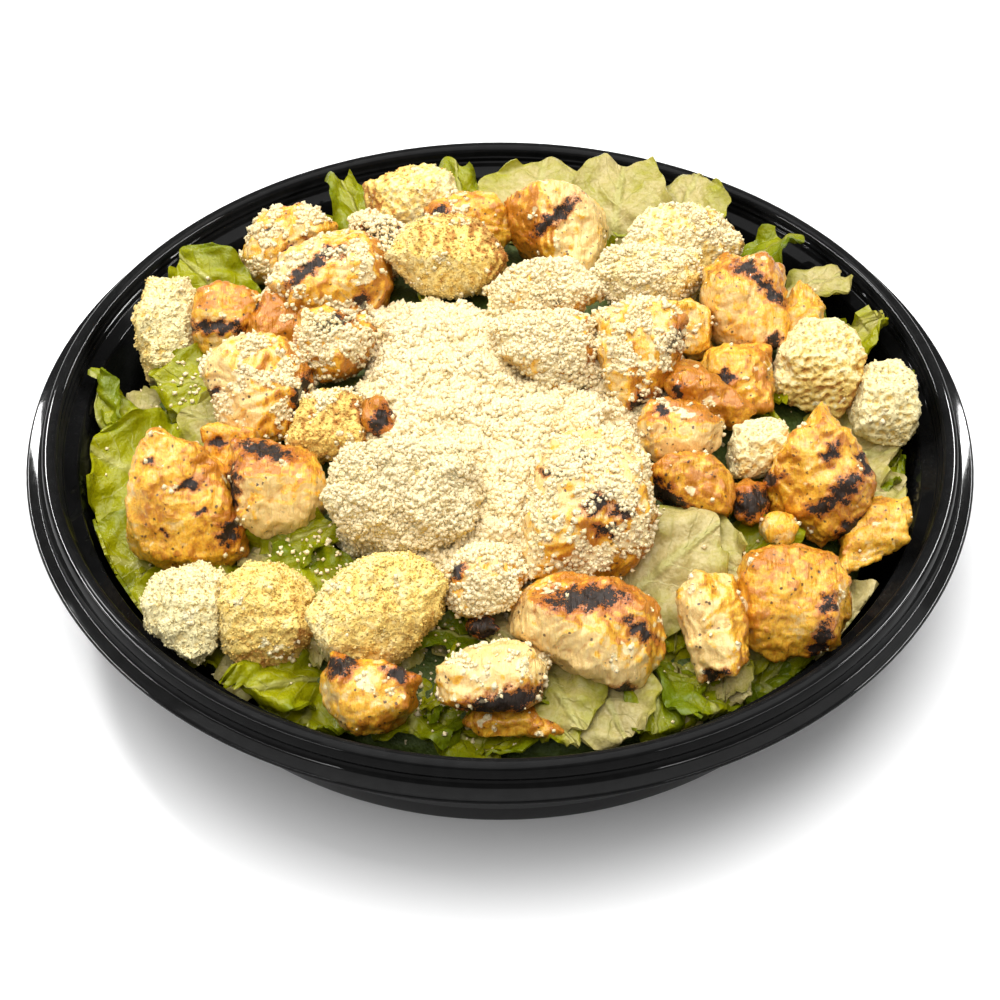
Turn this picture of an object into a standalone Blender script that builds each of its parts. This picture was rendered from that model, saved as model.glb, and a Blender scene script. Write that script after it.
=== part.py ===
"""Chicken caesar salad in a round black plastic bowl.

A shallow bowl with a snap rim holds a bed of cut lettuce. Grilled chicken pieces and
croutons lie on it, and grated cheese is heaped in the middle. The origin is at the
bowl's centre on the table, +Z is up and the bowl's front is at -Y. Lengths below are in
millimetres and become metres where a shape is made.
"""
import math

import bmesh
import bpy
import numpy as np
from mathutils import Euler, Matrix, Vector, noise

MM = 0.001

# The bowl
BOWL_HEIGHT = 41.0
RIM_EDGE_RADIUS = 115.0
LIP_OUTER_RADIUS = 110.6
LIP_INNER_RADIUS = 107.1
LEDGE_INNER_RADIUS = 102.7
FOOT_RADIUS = 92.4
LEDGE_DROP = 6.4
SHEET = 1.2
TURN_STEPS = 32

# The heap: its height above the lip falls from the middle to the wall
HEAP_CROWN = 12.0
HEAP_FALL = 15.0
HEAP_FALL_RADIUS = 95.0
BED_BELOW_HEAP = 9.5
BED_FOOT_RADIUS = 84.0
BED_SHOULDER_RADIUS = 88.0
BED_RINGS = (30.0, 58.0, 76.0, BED_SHOULDER_RADIUS, 94.0)
BED_STEPS = 28
# Past its shoulder the bed drops by this much times the square of the way out
BED_EDGE_DROP = 0.16
BED_UNEVENNESS = 0.035
BED_SINK = 0.2

# Clearances between neighbours
PIECE_GAP = 0.7
SEAT_GAP = 0.5
WALL_GAP = 1.2
CUT_MARGIN = 0.4
LIP_CLEARANCE = 1.4
SLOPE_CLEARANCE = 0.4
# Food keeps clear of the ledge up to this far above it
LEDGE_REACH = 3.0
# Cut faces within this angle of each other are merged
FLAT_ANGLE = math.radians(1.5)

# The pieces face up and to the front, and stand off the heap that way by their lift
FACING_LEAN = 47.0
FACING = Vector((0.0, -math.sin(math.radians(FACING_LEAN)), math.cos(math.radians(FACING_LEAN))))
CHICKEN_ROUNDING = 13.0
CROUTON_ROUNDING = 16.0
# Rounding draws a piece's corners in, so its sides stand out by this much
SIDE_ALLOWANCE = 1.07
SIDE_TILT = 0.9
CHICKEN_ROUGHNESS = 0.10
CROUTON_ROUGHNESS = 0.05
BUMPS_ACROSS = 1.9
CHICKEN_SEED = 3
CROUTON_SEED = 71
# Cuts across a piece's faces, by how wide it is
CUTS_BY_WIDTH = ((25.5, 3), (12.0, 2), (0.0, 1))

# How neighbours are pressed apart: directions tried, how near they have to be, and the
# share of the way between their middles that each keeps
DIRECTIONS_TRIED = 500
NEIGHBOUR_REACH = 60.0
LEAST_FACING = 0.25
LEAST_SHARE = 0.3
HALVINGS = 18

LEAF_THICKNESS = 1.0
LEAF_ROOT_DEPTH = 1.0
# A leaf's width follows a part of a half sine wave, and its edges wave along it
LEAF_NARROW_START = 0.16
LEAF_NARROW_RUN = 0.74
LEAF_FULLNESS = 0.6
LEAF_WAVES = 9.0
LEAF_WAVE_SLANT = 2.2
LEAF_WAVE_STEP = 2.4
LEAF_LENGTH_CELLS = 4
LEAF_WIDTH_CELLS = 2

# Grated cheese: how far the heap reaches from its middle, every 30 degrees from +X
CHEESE_MIDDLE = (-3.0, -10.0)
CHEESE_REACH = (38, 58, 46, 41, 54, 34, 31, 40, 48, 54, 44, 33)
CHEESE_RINGS = 4
CHEESE_SPOKES = 20
CHEESE_RISE = 2.5
CHEESE_LUMP = 1.8
CHEESE_LUMPS_PER_MM = 0.11
CHEESE_EDGE_DROP = 4.0

# Each chicken piece: its place on the heap in plan with its lift, its outline seen from
# the front and above (to the right, up), its thickness, and the flats cut across its
# front (direction, tilt, distance from the middle)
CHICKEN = {
    "chicken_left_small": dict(
        at=(-67, 30, 1), outline=[(-9, 6), (-3, 10), (4, 9), (9, 4), (3, -8), (-3, -9), (-9, -6)],
        depth=16, flats=[(90, 35, 8), (-80, 25, 8)]),
    "chicken_left_crusted": dict(
        at=(-56, 30, -1), outline=[(-8, 3), (0, 7), (7, 2), (9, -5), (-2, -7), (-8, -4)],
        depth=15, flats=[(60, 20, 7)]),
    "chicken_left_upper": dict(
        at=(-58, 0, 3), outline=[(-12, 8), (-2, 14), (7, 12), (12, 5), (13, -3), (8, -9),
                                 (0, -13), (-7, -13), (-9, -6)],
        depth=22, flats=[(70, 22, 10), (200, 28, 10), (-20, 30, 11)]),
    "chicken_left_shred": dict(
        at=(-64, -19, -3), outline=[(-5, 6), (4, 5), (6, -4), (-3, -6)], depth=12, flats=[(0, 0, 6)]),
    "chicken_back_left": dict(
        at=(-42, 41, 3), outline=[(-15, -4), (-13, 6), (-2, 12), (9, 10), (15, -2), (8, -10), (-5, -10)],
        depth=22, flats=[(110, 30, 10), (-60, 25, 10)]),
    "chicken_back_left_front": dict(
        at=(-40, 15, 4), outline=[(-8, 5), (3, 7), (8, 1), (4, -6), (-3, -8), (-8, -3)],
        depth=17, flats=[(90, 25, 8), (-90, 25, 8)]),
    "chicken_back_seasoned": dict(
        at=(-55, 66, 1), outline=[(-12, -6), (-8, 5), (0, 9), (10, 5), (12, 0), (0, -9), (-8, -10)],
        depth=18, flats=[(100, 30, 9), (-70, 20, 9)]),
    "chicken_back_charred": dict(
        at=(-31, 60, 0), outline=[(-7, 4), (-4, 8), (3, 6), (7, 1), (3, -8), (-4, -6)],
        depth=15, flats=[(80, 20, 7)]),
    "chicken_back_marked": dict(
        at=(-8, 69, 1), outline=[(-11, 4), (-4, 7), (5, 6), (11, 1), (10, -6), (-6, -7), (-11, -2)],
        depth=17, flats=[(90, 30, 8), (-90, 25, 8)]),
    "chicken_back_middle": dict(
        at=(14, 67, 3), outline=[(-14, 7), (-6, 10), (3, 11), (10, 6), (13, -4), (9, -11), (0, -11),
                                 (-12, 0)],
        depth=20, flats=[(30, 26, 9), (185, 34, 9)]),
    "chicken_right_tall": dict(
        at=(61, 35, 5), outline=[(-9, 8), (-2, 13), (7, 11), (10, 3), (8, -9), (-1, -13), (-8, -5),
                                 (-10, 1)],
        depth=20, flats=[(60, 25, 9), (205, 25, 9)]),
    "chicken_right_strip": dict(
        at=(75, 31, 4), outline=[(-4, 6), (1, 11), (5, 5), (4, -4), (1, -11), (-4, -9)],
        depth=14, flats=[(0, 0, 7)]),
    "chicken_right_inner": dict(
        at=(47, 23, -2), outline=[(-5, 7), (4, 6), (5, -5), (-4, -7)], depth=14, flats=[(30, 20, 6)]),
    "chicken_right_spotted": dict(
        at=(58, 6, -3), outline=[(-7, 6), (4, 8), (8, 2), (5, -8), (-4, -7), (-7, -2)],
        depth=16, flats=[(90, 20, 7)]),
    "chicken_right_wedge": dict(
        at=(50, -2, 2), outline=[(-10, 5), (-5, 8), (4, 2), (11, -4), (8, -8), (1, -6), (-10, -1)],
        depth=17, flats=[(60, 25, 7), (-110, 30, 7)]),
    "chicken_right_cut": dict(
        at=(42, -16, 2), outline=[(-8, 5), (0, 7), (8, 5), (8, -3), (3, -6), (-8, -5)],
        depth=15, flats=[(90, 40, 7), (-90, 15, 7)]),
    "chicken_right_smooth": dict(
        at=(45, -31, 3), outline=[(-10, 5), (-5, 7), (1, 6), (8, 1), (10, -3), (8, -7), (-2, -6),
                                  (-9, -1)],
        depth=15, flats=[(50, 20, 7), (-130, 35, 7)]),
    "chicken_front_right_large": dict(
        at=(75, -25, 5), outline=[(-4, 17), (3, 17), (9, 6), (14, -4), (12, -13), (5, -17), (-3, -14),
                                  (-16, -2), (-11, 5)],
        depth=20, flats=[(60, 15, 9), (210, 25, 9), (-60, 25, 10)]),
    "chicken_right_edge": dict(
        at=(88, -36, -1), outline=[(-11, -6), (-5, 4), (2, 6), (8, 5), (6, -2), (0, -6)],
        depth=14, flats=[(90, 20, 6)]),
    "chicken_front_right": dict(
        at=(65, -60, 4), outline=[(-8, 11), (0, 12), (8, 10), (12, 5), (11, -9), (7, -12), (-9, -11),
                                  (-12, -2)],
        depth=22, flats=[(70, 32, 10), (-90, 22, 10), (180, 25, 11)]),
    "chicken_right_crumb": dict(
        at=(65, -41, -1), outline=[(-4, 1), (0, 3), (4, 0), (2, -3), (-3, -3)], depth=9,
        flats=[(0, 0, 4)]),
    "chicken_right_char": dict(
        at=(58, -35, -2), outline=[(-4, 3), (1, 4), (4, 1), (3, -4), (-2, -4)], depth=11,
        flats=[(0, 0, 5)]),
    "chicken_middle_back": dict(
        at=(11, 34, 4), outline=[(-14, -2), (-9, 4), (1, 7), (8, 6), (15, -1), (6, -5), (-14, -6)],
        depth=18, flats=[(90, 30, 8), (-90, 20, 8)]),
    "chicken_middle": dict(
        at=(12, 9, 4), outline=[(-12, 8), (2, 9), (11, 7), (13, -7), (7, -10), (-2, -8), (-12, 0)],
        depth=19, flats=[(90, 25, 9), (-70, 20, 9)]),
    "chicken_middle_right": dict(
        at=(34, 8, 5), outline=[(-9, 12), (5, 14), (10, 10), (8, 0), (3, -9), (-1, -15), (-6, -11),
                                (-11, 2)],
        depth=20, flats=[(90, 15, 9), (-30, 30, 9)]),
    "chicken_charred_bit": dict(
        at=(-28, -12, 3), outline=[(-3, 3), (0, 4), (3, 0), (2, -4), (-2, -4)], depth=9,
        flats=[(0, 0, 4)]),
    "chicken_front_middle_large": dict(
        at=(20, -43, 5), outline=[(-10, 12), (2, 14), (11, 11), (14, 0), (11, -9), (6, -14), (-6, -14),
                                  (-14, -10), (-13, 2)],
        depth=22, flats=[(80, 22, 10), (-60, 22, 10)]),
    "chicken_front_middle_cut": dict(
        at=(20, -73, 4), outline=[(-16, 4), (-12, 8), (4, 10), (14, 6), (16, 0), (13, -10), (5, -13),
                                  (-6, -7), (-13, -3)],
        depth=21, flats=[(80, 38, 9), (-120, 20, 9), (-20, 30, 11)]),
    "chicken_front_middle_dusted": dict(
        at=(-3, -62, 2), outline=[(-8, 4), (0, 8), (9, 2), (6, -3), (0, -8), (-6, -6)],
        depth=16, flats=[(90, 25, 7), (-90, 20, 7)]),
    "chicken_left_inner": dict(
        at=(-51, -32, 3), outline=[(-9, 9), (0, 9), (7, 7), (10, 2), (10, -4), (4, -9), (-2, -10),
                                   (-9, -6), (-11, 2)],
        depth=19, flats=[(60, 20, 9), (-70, 25, 9)]),
    "chicken_left_large": dict(
        at=(-71, -32, 4), outline=[(-11, 16), (0, 13), (9, 5), (14, -9), (10, -14), (-3, -15),
                                   (-14, -11), (-14, 0)],
        depth=21, flats=[(60, 20, 10), (-120, 18, 10), (-30, 35, 12)]),
    "chicken_front_left": dict(
        at=(-28, -87, 2), outline=[(-9, 8), (-2, 8), (8, 4), (9, -2), (2, -9), (-5, -7), (-9, -2)],
        depth=17, flats=[(90, 30, 8), (-90, 20, 8)]),
    "chicken_front_seared": dict(
        at=(-2, -86, 3), outline=[(-11, 3), (-6, 6), (4, 9), (9, 7), (12, 1), (10, -4), (3, -8),
                                  (-6, -8), (-10, -4)],
        depth=18, flats=[(95, 42, 8), (-80, 20, 8), (-80, 50, 9)]),
    "chicken_front_crumbled": dict(
        at=(1, -93, -5), outline=[(-10, 5), (8, 4), (11, 0), (9, -4), (-8, -4)],
        depth=11, flats=[(90, 20, 5)]),
    "chicken_front_right_lean": dict(
        at=(48, -70, 3), outline=[(-8, 10), (-2, 12), (3, 10), (8, 1), (7, -6), (2, -10), (-2, -13),
                                  (-5, -6), (-7, 3)],
        depth=17, flats=[(50, 25, 8), (180, 25, 8)]),
    "chicken_front_char": dict(
        at=(-4, -73, -3), outline=[(-3, 1), (1, 2), (3, -1), (-1, -2)], depth=8, flats=[(0, 0, 4)]),
}

CROUTONS = {
    "crouton_left_curved": dict(
        at=(-84, 32, 3), outline=[(-2, 14), (5, 14), (8, 9), (6, -7), (2, -14), (-3, -14), (-6, -3),
                                  (-6, 6)],
        depth=15, flats=[(30, 20, 7), (180, 15, 8)]),
    "crouton_left_browned": dict(
        at=(-40, -14, -1), outline=[(-6, 6), (4, 8), (9, 4), (9, -2), (1, -7), (-6, -7), (-10, -3)],
        depth=16, flats=[(80, 20, 7)]),
    "crouton_back_left": dict(
        at=(-22, 82, 3), outline=[(-12, 3), (-8, 7), (6, 8), (11, 1), (12, -3), (3, -9), (-2, -9),
                                  (-10, -5)],
        depth=19, flats=[(90, 40, 9), (-90, 25, 9)]),
    "crouton_back_middle": dict(
        at=(-13, 50, 4), outline=[(-13, 5), (-6, 9), (6, 9), (12, 3), (14, -2), (10, -7), (1, -9),
                                  (-6, -8), (-13, -1)],
        depth=19, flats=[(80, 35, 9), (-95, 25, 9)]),
    "crouton_back_right": dict(
        at=(47, 62, 3), outline=[(-14, 1), (-9, 8), (3, 9), (10, 6), (15, 0), (13, -5), (4, -9),
                                 (-13, -7)],
        depth=19, flats=[(90, 30, 9), (-90, 30, 9)]),
    "crouton_back_right_dusted": dict(
        at=(38, 44, 1), outline=[(-13, 3), (-4, 7), (10, 6), (13, 0), (5, -7), (-8, -6)],
        depth=17, flats=[(90, 25, 8), (-90, 25, 8)]),
    "crouton_right_slab": dict(
        at=(79, 15, 3), outline=[(-5, 11), (2, 12), (10, 7), (11, 3), (9, -9), (6, -12), (-12, -6),
                                 (-11, 1)],
        depth=17, flats=[(60, 30, 8), (-100, 25, 8)]),
    "crouton_right_porous": dict(
        at=(94, 7, 3), outline=[(-7, 8), (5, 10), (7, 5), (8, -5), (4, -10), (-2, -9), (-8, -5)],
        depth=16, flats=[(90, 30, 8), (-90, 20, 8)]),
    "crouton_right_pale": dict(
        at=(61, -18, 1), outline=[(-5, 5), (1, 7), (7, 5), (6, -1), (1, -6), (-6, -6)],
        depth=14, flats=[(90, 35, 6), (-90, 20, 6)]),
    "crouton_front_large": dict(
        at=(-26, -68, 4), outline=[(-9, 8), (-3, 11), (4, 13), (10, 10), (15, 3), (9, -4), (3, -12),
                                   (-1, -14), (-7, -12), (-14, -3)],
        depth=21, flats=[(80, 20, 10), (-60, 28, 10)]),
    "crouton_front_left_round": dict(
        at=(-71, -63, 2), outline=[(-6, 8), (1, 10), (8, 6), (9, -2), (4, -9), (-3, -9), (-8, -4),
                                   (-9, 3)],
        depth=18, flats=[(0, 0, 9)]),
    "crouton_front_left": dict(
        at=(-53, -66, 1), outline=[(-8, 8), (0, 11), (6, 7), (11, -1), (8, -8), (1, -11), (-8, -8),
                                   (-10, 2)],
        depth=18, flats=[(60, 15, 9), (-90, 20, 9)]),
    "crouton_middle_left": dict(
        at=(-22, -38, 3), outline=[(-16, 3), (-9, 10), (4, 12), (15, 7), (16, -4), (7, -11), (-6, -13),
                                   (-14, -7)],
        depth=20, flats=[(90, 18, 9), (-90, 22, 9)]),
}

# Each leaf: its root in plan, the way it runs in plan and its rise off the heap, its roll
# about its length, its length and width, and the height of its bend and of its ruffle
LEAVES = [
    dict(at=(-94, 0), heading=112, rise=44, roll=-40, length=26, width=15, bend=3, ruffle=2),
    dict(at=(-74, -18), heading=165, rise=30, roll=-14, length=25, width=36, bend=-3, ruffle=3),
    dict(at=(-72, -42), heading=178, rise=24, roll=-14, length=26, width=30, bend=-3, ruffle=3),
    dict(at=(-56, -8), heading=160, rise=22, roll=-14, length=22, width=22, bend=2, ruffle=2),
    dict(at=(-62, 12), heading=175, rise=20, roll=-8, length=24, width=20, bend=2, ruffle=3),
    dict(at=(-66, -52), heading=205, rise=16, roll=-12, length=24, width=24, bend=-2, ruffle=3),
    dict(at=(-40, -76), heading=208, rise=26, roll=-20, length=26, width=16, bend=3, ruffle=3),
    dict(at=(-42, -76), heading=262, rise=16, roll=10, length=20, width=22, bend=-2, ruffle=3),
    dict(at=(-34, -60), heading=160, rise=20, roll=-20, length=24, width=22, bend=3, ruffle=4),
    dict(at=(-58, -46), heading=10, rise=20, roll=20, length=24, width=16, bend=3, ruffle=4),
    dict(at=(-18, -76), heading=265, rise=12, roll=0, length=18, width=26, bend=-2, ruffle=2),
    dict(at=(8, -72), heading=292, rise=18, roll=18, length=24, width=24, bend=3, ruffle=2),
    dict(at=(22, -76), heading=285, rise=18, roll=20, length=22, width=22, bend=3, ruffle=2),
    dict(at=(32, -72), heading=275, rise=16, roll=-20, length=24, width=16, bend=3, ruffle=2),
    dict(at=(38, -74), heading=300, rise=16, roll=-24, length=24, width=20, bend=3, ruffle=2),
    dict(at=(50, -80), heading=30, rise=30, roll=30, length=24, width=14, bend=-2, ruffle=2),
    dict(at=(26, -60), heading=30, rise=26, roll=22, length=30, width=28, bend=3, ruffle=3),
    dict(at=(34, -44), heading=-30, rise=26, roll=24, length=26, width=24, bend=3, ruffle=3),
    dict(at=(48, -46), heading=0, rise=24, roll=26, length=22, width=22, bend=-2, ruffle=3),
    dict(at=(74, -54), heading=335, rise=18, roll=24, length=20, width=24, bend=2, ruffle=2),
    dict(at=(58, -72), heading=320, rise=12, roll=20, length=20, width=16, bend=2, ruffle=2),
    dict(at=(-10, 74), heading=96, rise=46, roll=10, length=24, width=14, bend=2, ruffle=2),
    dict(at=(8, 74), heading=80, rise=40, roll=6, length=25, width=32, bend=3, ruffle=2),
    dict(at=(30, 70), heading=82, rise=42, roll=-6, length=28, width=28, bend=4, ruffle=2),
    dict(at=(46, 68), heading=72, rise=42, roll=-14, length=28, width=24, bend=4, ruffle=2),
    dict(at=(60, 50), heading=50, rise=34, roll=-24, length=26, width=18, bend=4, ruffle=3),
    dict(at=(68, 40), heading=34, rise=34, roll=-24, length=26, width=18, bend=3, ruffle=2),
    dict(at=(76, 32), heading=20, rise=34, roll=-24, length=26, width=20, bend=-2, ruffle=2),
    dict(at=(88, 14), heading=20, rise=44, roll=-40, length=18, width=9, bend=2, ruffle=1),
    dict(at=(74, -4), heading=-5, rise=16, roll=14, length=22, width=26, bend=-2, ruffle=2),
    dict(at=(-66, 46), heading=140, rise=38, roll=-20, length=24, width=20, bend=3, ruffle=2),
    dict(at=(-34, 70), heading=112, rise=38, roll=0, length=26, width=12, bend=2, ruffle=2),
]

COLOURS = {
    "black_plastic": ((0.010, 0.010, 0.011), 0.22),
    "grilled_chicken": ((0.72, 0.42, 0.16), 0.5),
    "crouton": ((0.76, 0.56, 0.26), 0.8),
    "grated_cheese": ((0.84, 0.76, 0.50), 0.75),
    "lettuce": ((0.42, 0.52, 0.12), 0.45),
}


def clear_scene():
    for item in list(bpy.data.objects):
        bpy.data.objects.remove(item, do_unlink=True)
    salad = bpy.data.collections.new("chicken_caesar_salad")
    cutters = bpy.data.collections.new("cutters")
    bpy.context.scene.collection.children.link(salad)
    bpy.context.scene.collection.children.link(cutters)
    return salad, cutters


def make_material(name):
    colour, roughness = COLOURS[name]
    material = bpy.data.materials.new(name)
    material.use_nodes = True
    shader = material.node_tree.nodes["Principled BSDF"]
    shader.inputs["Base Color"].default_value = (*colour, 1.0)
    shader.inputs["Roughness"].default_value = roughness
    shader.inputs["Metallic"].default_value = 0.0
    return material


def add_object(name, mesh, collection, material=None):
    item = bpy.data.objects.new(name, mesh)
    collection.objects.link(item)
    if material is not None:
        mesh.materials.append(material)
    return item


def heap_height(x, y):
    """Height above the table, in mm, of the surface that the pieces' middles lie on."""
    return BOWL_HEIGHT + HEAP_CROWN - HEAP_FALL * (x * x + y * y) / HEAP_FALL_RADIUS ** 2


def bed_height(x, y):
    """Height of the bare lettuce bed: a mound that drops away near the bowl's wall."""
    radius = math.hypot(x, y)
    height = heap_height(x, y) - BED_BELOW_HEAP
    over = max(0.0, radius - BED_SHOULDER_RADIUS)
    return height - BED_EDGE_DROP * over * over


def wall_radius(z):
    """Inner radius of the bowl at a height above the table."""
    ledge_height = BOWL_HEIGHT - LEDGE_DROP
    if z > ledge_height + LEDGE_REACH:
        return LIP_INNER_RADIUS - LIP_CLEARANCE
    share = min(1.0, max(0.0, z / ledge_height))
    foot = FOOT_RADIUS - SHEET
    return foot + share * (LEDGE_INNER_RADIUS - foot) - SLOPE_CLEARANCE


def bowl_profile():
    """The turned outline: floor, inner wall, rim, outer wall and foot, in mm."""
    top = BOWL_HEIGHT
    floor = SHEET + 1.0
    return [
        (0.0, floor), (84.5, floor), (87.2, SHEET), (90.2, SHEET), (FOOT_RADIUS - 0.4, 2.8),
        (LEDGE_INNER_RADIUS - 0.5, top - 7.6), (LEDGE_INNER_RADIUS, top - LEDGE_DROP),
        (LIP_INNER_RADIUS - 1.1, top - 5.5), (LIP_INNER_RADIUS, top - 0.6),
        (LIP_INNER_RADIUS + 0.6, top), (LIP_OUTER_RADIUS - 0.6, top),
        (LIP_OUTER_RADIUS, top - 0.6), (LIP_OUTER_RADIUS + 0.7, top - 3.2),
        (LIP_OUTER_RADIUS + 1.1, top - 5.4), (RIM_EDGE_RADIUS - 0.4, top - 5.7),
        (RIM_EDGE_RADIUS, top - 6.1), (RIM_EDGE_RADIUS, top - 6.9), (LIP_OUTER_RADIUS + 0.6, top - 6.8),
        (LIP_OUTER_RADIUS - 1.0, top - SHEET), (LIP_INNER_RADIUS + 1.2, top - SHEET),
        (LIP_INNER_RADIUS + 0.2, top - 6.6), (LEDGE_INNER_RADIUS + 1.9, top - 7.6),
        (LEDGE_INNER_RADIUS + 1.1, top - 9.2), (FOOT_RADIUS + 3.1, 8.2), (FOOT_RADIUS + 2.2, 7.5),
        (FOOT_RADIUS + 0.5, 1.2), (FOOT_RADIUS - 0.2, 0.0), (86.0, 0.0), (84.8, 1.0), (0.0, 1.0),
    ]


def make_bowl(collection, material):
    mesh = bpy.data.meshes.new("bowl")
    points = [(radius * MM, 0.0, height * MM) for radius, height in bowl_profile()]
    edges = [(i, i + 1) for i in range(len(points) - 1)]
    mesh.from_pydata(points, edges, [])
    bowl = add_object("bowl", mesh, collection, material)
    screw = bowl.modifiers.new("turn", "SCREW")
    screw.axis = "Z"
    screw.steps = TURN_STEPS
    screw.render_steps = TURN_STEPS
    screw.use_merge_vertices = True
    screw.merge_threshold = 0.00005
    screw.use_smooth_shade = False
    return bowl


def side_planes(outline, seed):
    """Unit normals and distances of the flats that an outline's edges stand for."""
    planes = []
    count = len(outline)
    for i in range(count):
        x0, y0 = outline[i]
        x1, y1 = outline[(i + 1) % count]
        length = math.hypot(x1 - x0, y1 - y0)
        normal = Vector((-(y1 - y0) / length, (x1 - x0) / length, 0.0))
        distance = normal.x * x0 + normal.y * y0
        if distance < 0.0:
            normal.negate()
            distance = -distance
        tilt = SIDE_TILT * noise.noise(Vector((seed, i * 1.7, 0.3)))
        tilted = Vector((normal.x, normal.y, math.sin(tilt))).normalized()
        planes.append((tilted, max(distance * SIDE_ALLOWANCE, 1.5)))
    return planes


def piece_planes(spec, seed):
    """All the flats that bound a piece, in its own frame (right, up, towards the front)."""
    planes = side_planes(spec["outline"], seed)
    for direction, tilt, distance in spec["flats"]:
        turn, lean = math.radians(direction), math.radians(tilt)
        flat = Vector((math.cos(turn) * math.sin(lean), math.sin(turn) * math.sin(lean),
                       math.cos(lean)))
        planes.append((flat, distance))
    planes.append((Vector((0.0, 0.0, -1.0)), spec["depth"] / 2))
    return planes


def piece_frame(spec):
    x, y, lift = spec["at"]
    middle = Vector((x, y, heap_height(x, y))) + FACING * lift
    turn = Euler((math.radians(FACING_LEAN), 0.0, 0.0))
    return middle, turn


def shape_piece(spec, rounding, rough, seed):
    """A rounded block: a cube's grid pushed out to the piece's flats, then roughened."""
    grid = bmesh.new()
    bmesh.ops.create_cube(grid, size=2.0)
    across = max(abs(x) for x, _ in spec["outline"]) * 2
    cuts = next(cuts for width, cuts in CUTS_BY_WIDTH if across >= width)
    bmesh.ops.subdivide_edges(grid, edges=grid.edges[:], cuts=cuts, use_grid_fill=True)
    planes = piece_planes(spec, seed)
    middle, turn = piece_frame(spec)
    rotation = turn.to_matrix()
    places = []
    for vertex in grid.verts:
        way = vertex.co.normalized()
        total = 0.0
        for normal, distance in planes:
            total += (max(0.0, normal.dot(way)) / distance) ** rounding
        reach = total ** (-1.0 / rounding)
        bump = noise.noise(way * BUMPS_ACROSS + Vector((seed * 3.1, 0.0, 0.0)))
        reach *= 1.0 + rough * bump
        places.append(middle + rotation @ (way * reach))
    return grid, middle, turn, places


def shrink_to(places, middle, inside):
    """Draw each place that fails the test towards the middle until it passes."""
    for i, place in enumerate(places):
        if inside(place):
            continue
        low, high = 0.0, 1.0
        for _ in range(HALVINGS):
            half = (low + high) / 2
            if inside(middle + (place - middle) * half):
                low = half
            else:
                high = half
        places[i] = middle + (place - middle) * low


def within_bowl(place):
    radius = math.hypot(place.x, place.y)
    return (radius < wall_radius(place.z) - WALL_GAP
            and place.z > bed_height(place.x, place.y) + SEAT_GAP)


def sphere_ways(count):
    golden = math.pi * (3.0 - math.sqrt(5.0))
    ways = []
    for i in range(count):
        z = 1.0 - 2.0 * (i + 0.5) / count
        ring = math.sqrt(1.0 - z * z)
        ways.append((ring * math.cos(golden * i), ring * math.sin(golden * i), z))
    return np.array(ways)


def part_pieces(first, second, ways):
    """Press two pieces flat against each other where they would overlap."""
    middle_a, places_a = first["middle"], first["places"]
    middle_b, places_b = second["middle"], second["places"]
    a = np.array([tuple(p) for p in places_a])
    b = np.array([tuple(p) for p in places_b])
    between = np.array(tuple(middle_b - middle_a))
    reach = ways @ between
    usable = ways[reach > LEAST_FACING * np.linalg.norm(between)]
    overlap = (a @ usable.T).max(axis=0) - (b @ usable.T).min(axis=0)
    best = int(np.argmin(overlap))
    if overlap[best] < -PIECE_GAP:
        return
    way = usable[best]
    far_a = float((a @ way).max())
    near_b = float((b @ way).min())
    base_a = float(np.dot(way, tuple(middle_a)))
    base_b = float(np.dot(way, tuple(middle_b)))
    plane = (far_a + near_b) / 2
    room = base_b - base_a
    plane = min(max(plane, base_a + LEAST_SHARE * room), base_b - LEAST_SHARE * room)
    normal = Vector(way)
    shrink_to(places_a, middle_a, lambda p: normal.dot(p) <= plane - PIECE_GAP / 2)
    shrink_to(places_b, middle_b, lambda p: normal.dot(p) >= plane + PIECE_GAP / 2)


def fit_pieces(pieces):
    ways = sphere_ways(DIRECTIONS_TRIED)
    for i, first in enumerate(pieces):
        shrink_to(first["places"], first["middle"], within_bowl)
        for second in pieces[:i]:
            if (first["middle"] - second["middle"]).length < NEIGHBOUR_REACH:
                part_pieces(second, first, ways)


def place_pieces(collection, table, rounding, rough, material, first_seed):
    pieces = []
    for number, (name, spec) in enumerate(table.items()):
        grid, middle, turn, places = shape_piece(spec, rounding, rough, first_seed + number)
        pieces.append(dict(name=name, grid=grid, middle=middle, turn=turn, places=places,
                           material=material, collection=collection))
    return pieces


def build_piece(piece):
    back = piece["turn"].to_matrix().inverted()
    for vertex, place in zip(piece["grid"].verts, piece["places"]):
        vertex.co = back @ (place - piece["middle"]) * MM
    mesh = bpy.data.meshes.new(piece["name"])
    bmesh.ops.triangulate(piece["grid"], faces=piece["grid"].faces[:])
    bmesh.ops.recalc_face_normals(piece["grid"], faces=piece["grid"].faces[:])
    piece["grid"].to_mesh(mesh)
    piece["grid"].free()
    item = add_object(piece["name"], mesh, piece["collection"], piece["material"])
    item.location = piece["middle"] * MM
    item.rotation_euler = piece["turn"]
    return item


def swollen_copy(item, cutters):
    """A cutter a little larger than a piece, so that what it cuts stays clear of it."""
    mesh = item.data.copy()
    cutter = add_object("cut_" + item.name, mesh, cutters)
    cutter.matrix_world = Matrix.LocRotScale(item.location, item.rotation_euler, None)
    cutter.hide_render = True
    cutter.display_type = "WIRE"
    shell = bmesh.new()
    shell.from_mesh(mesh)
    shell.normal_update()
    for vertex in shell.verts:
        steepest = min(face.normal.dot(vertex.normal) for face in vertex.link_faces)
        vertex.co += vertex.normal * (CUT_MARGIN * MM / max(0.4, steepest))
    shell.to_mesh(mesh)
    shell.free()
    return cutter


def bake(item):
    """Replace an object's mesh by what its modifiers make of it."""
    bpy.context.view_layer.update()
    graph = bpy.context.evaluated_depsgraph_get()
    mesh = bpy.data.meshes.new_from_object(item.evaluated_get(graph))
    item.modifiers.clear()
    item.data = mesh


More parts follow.
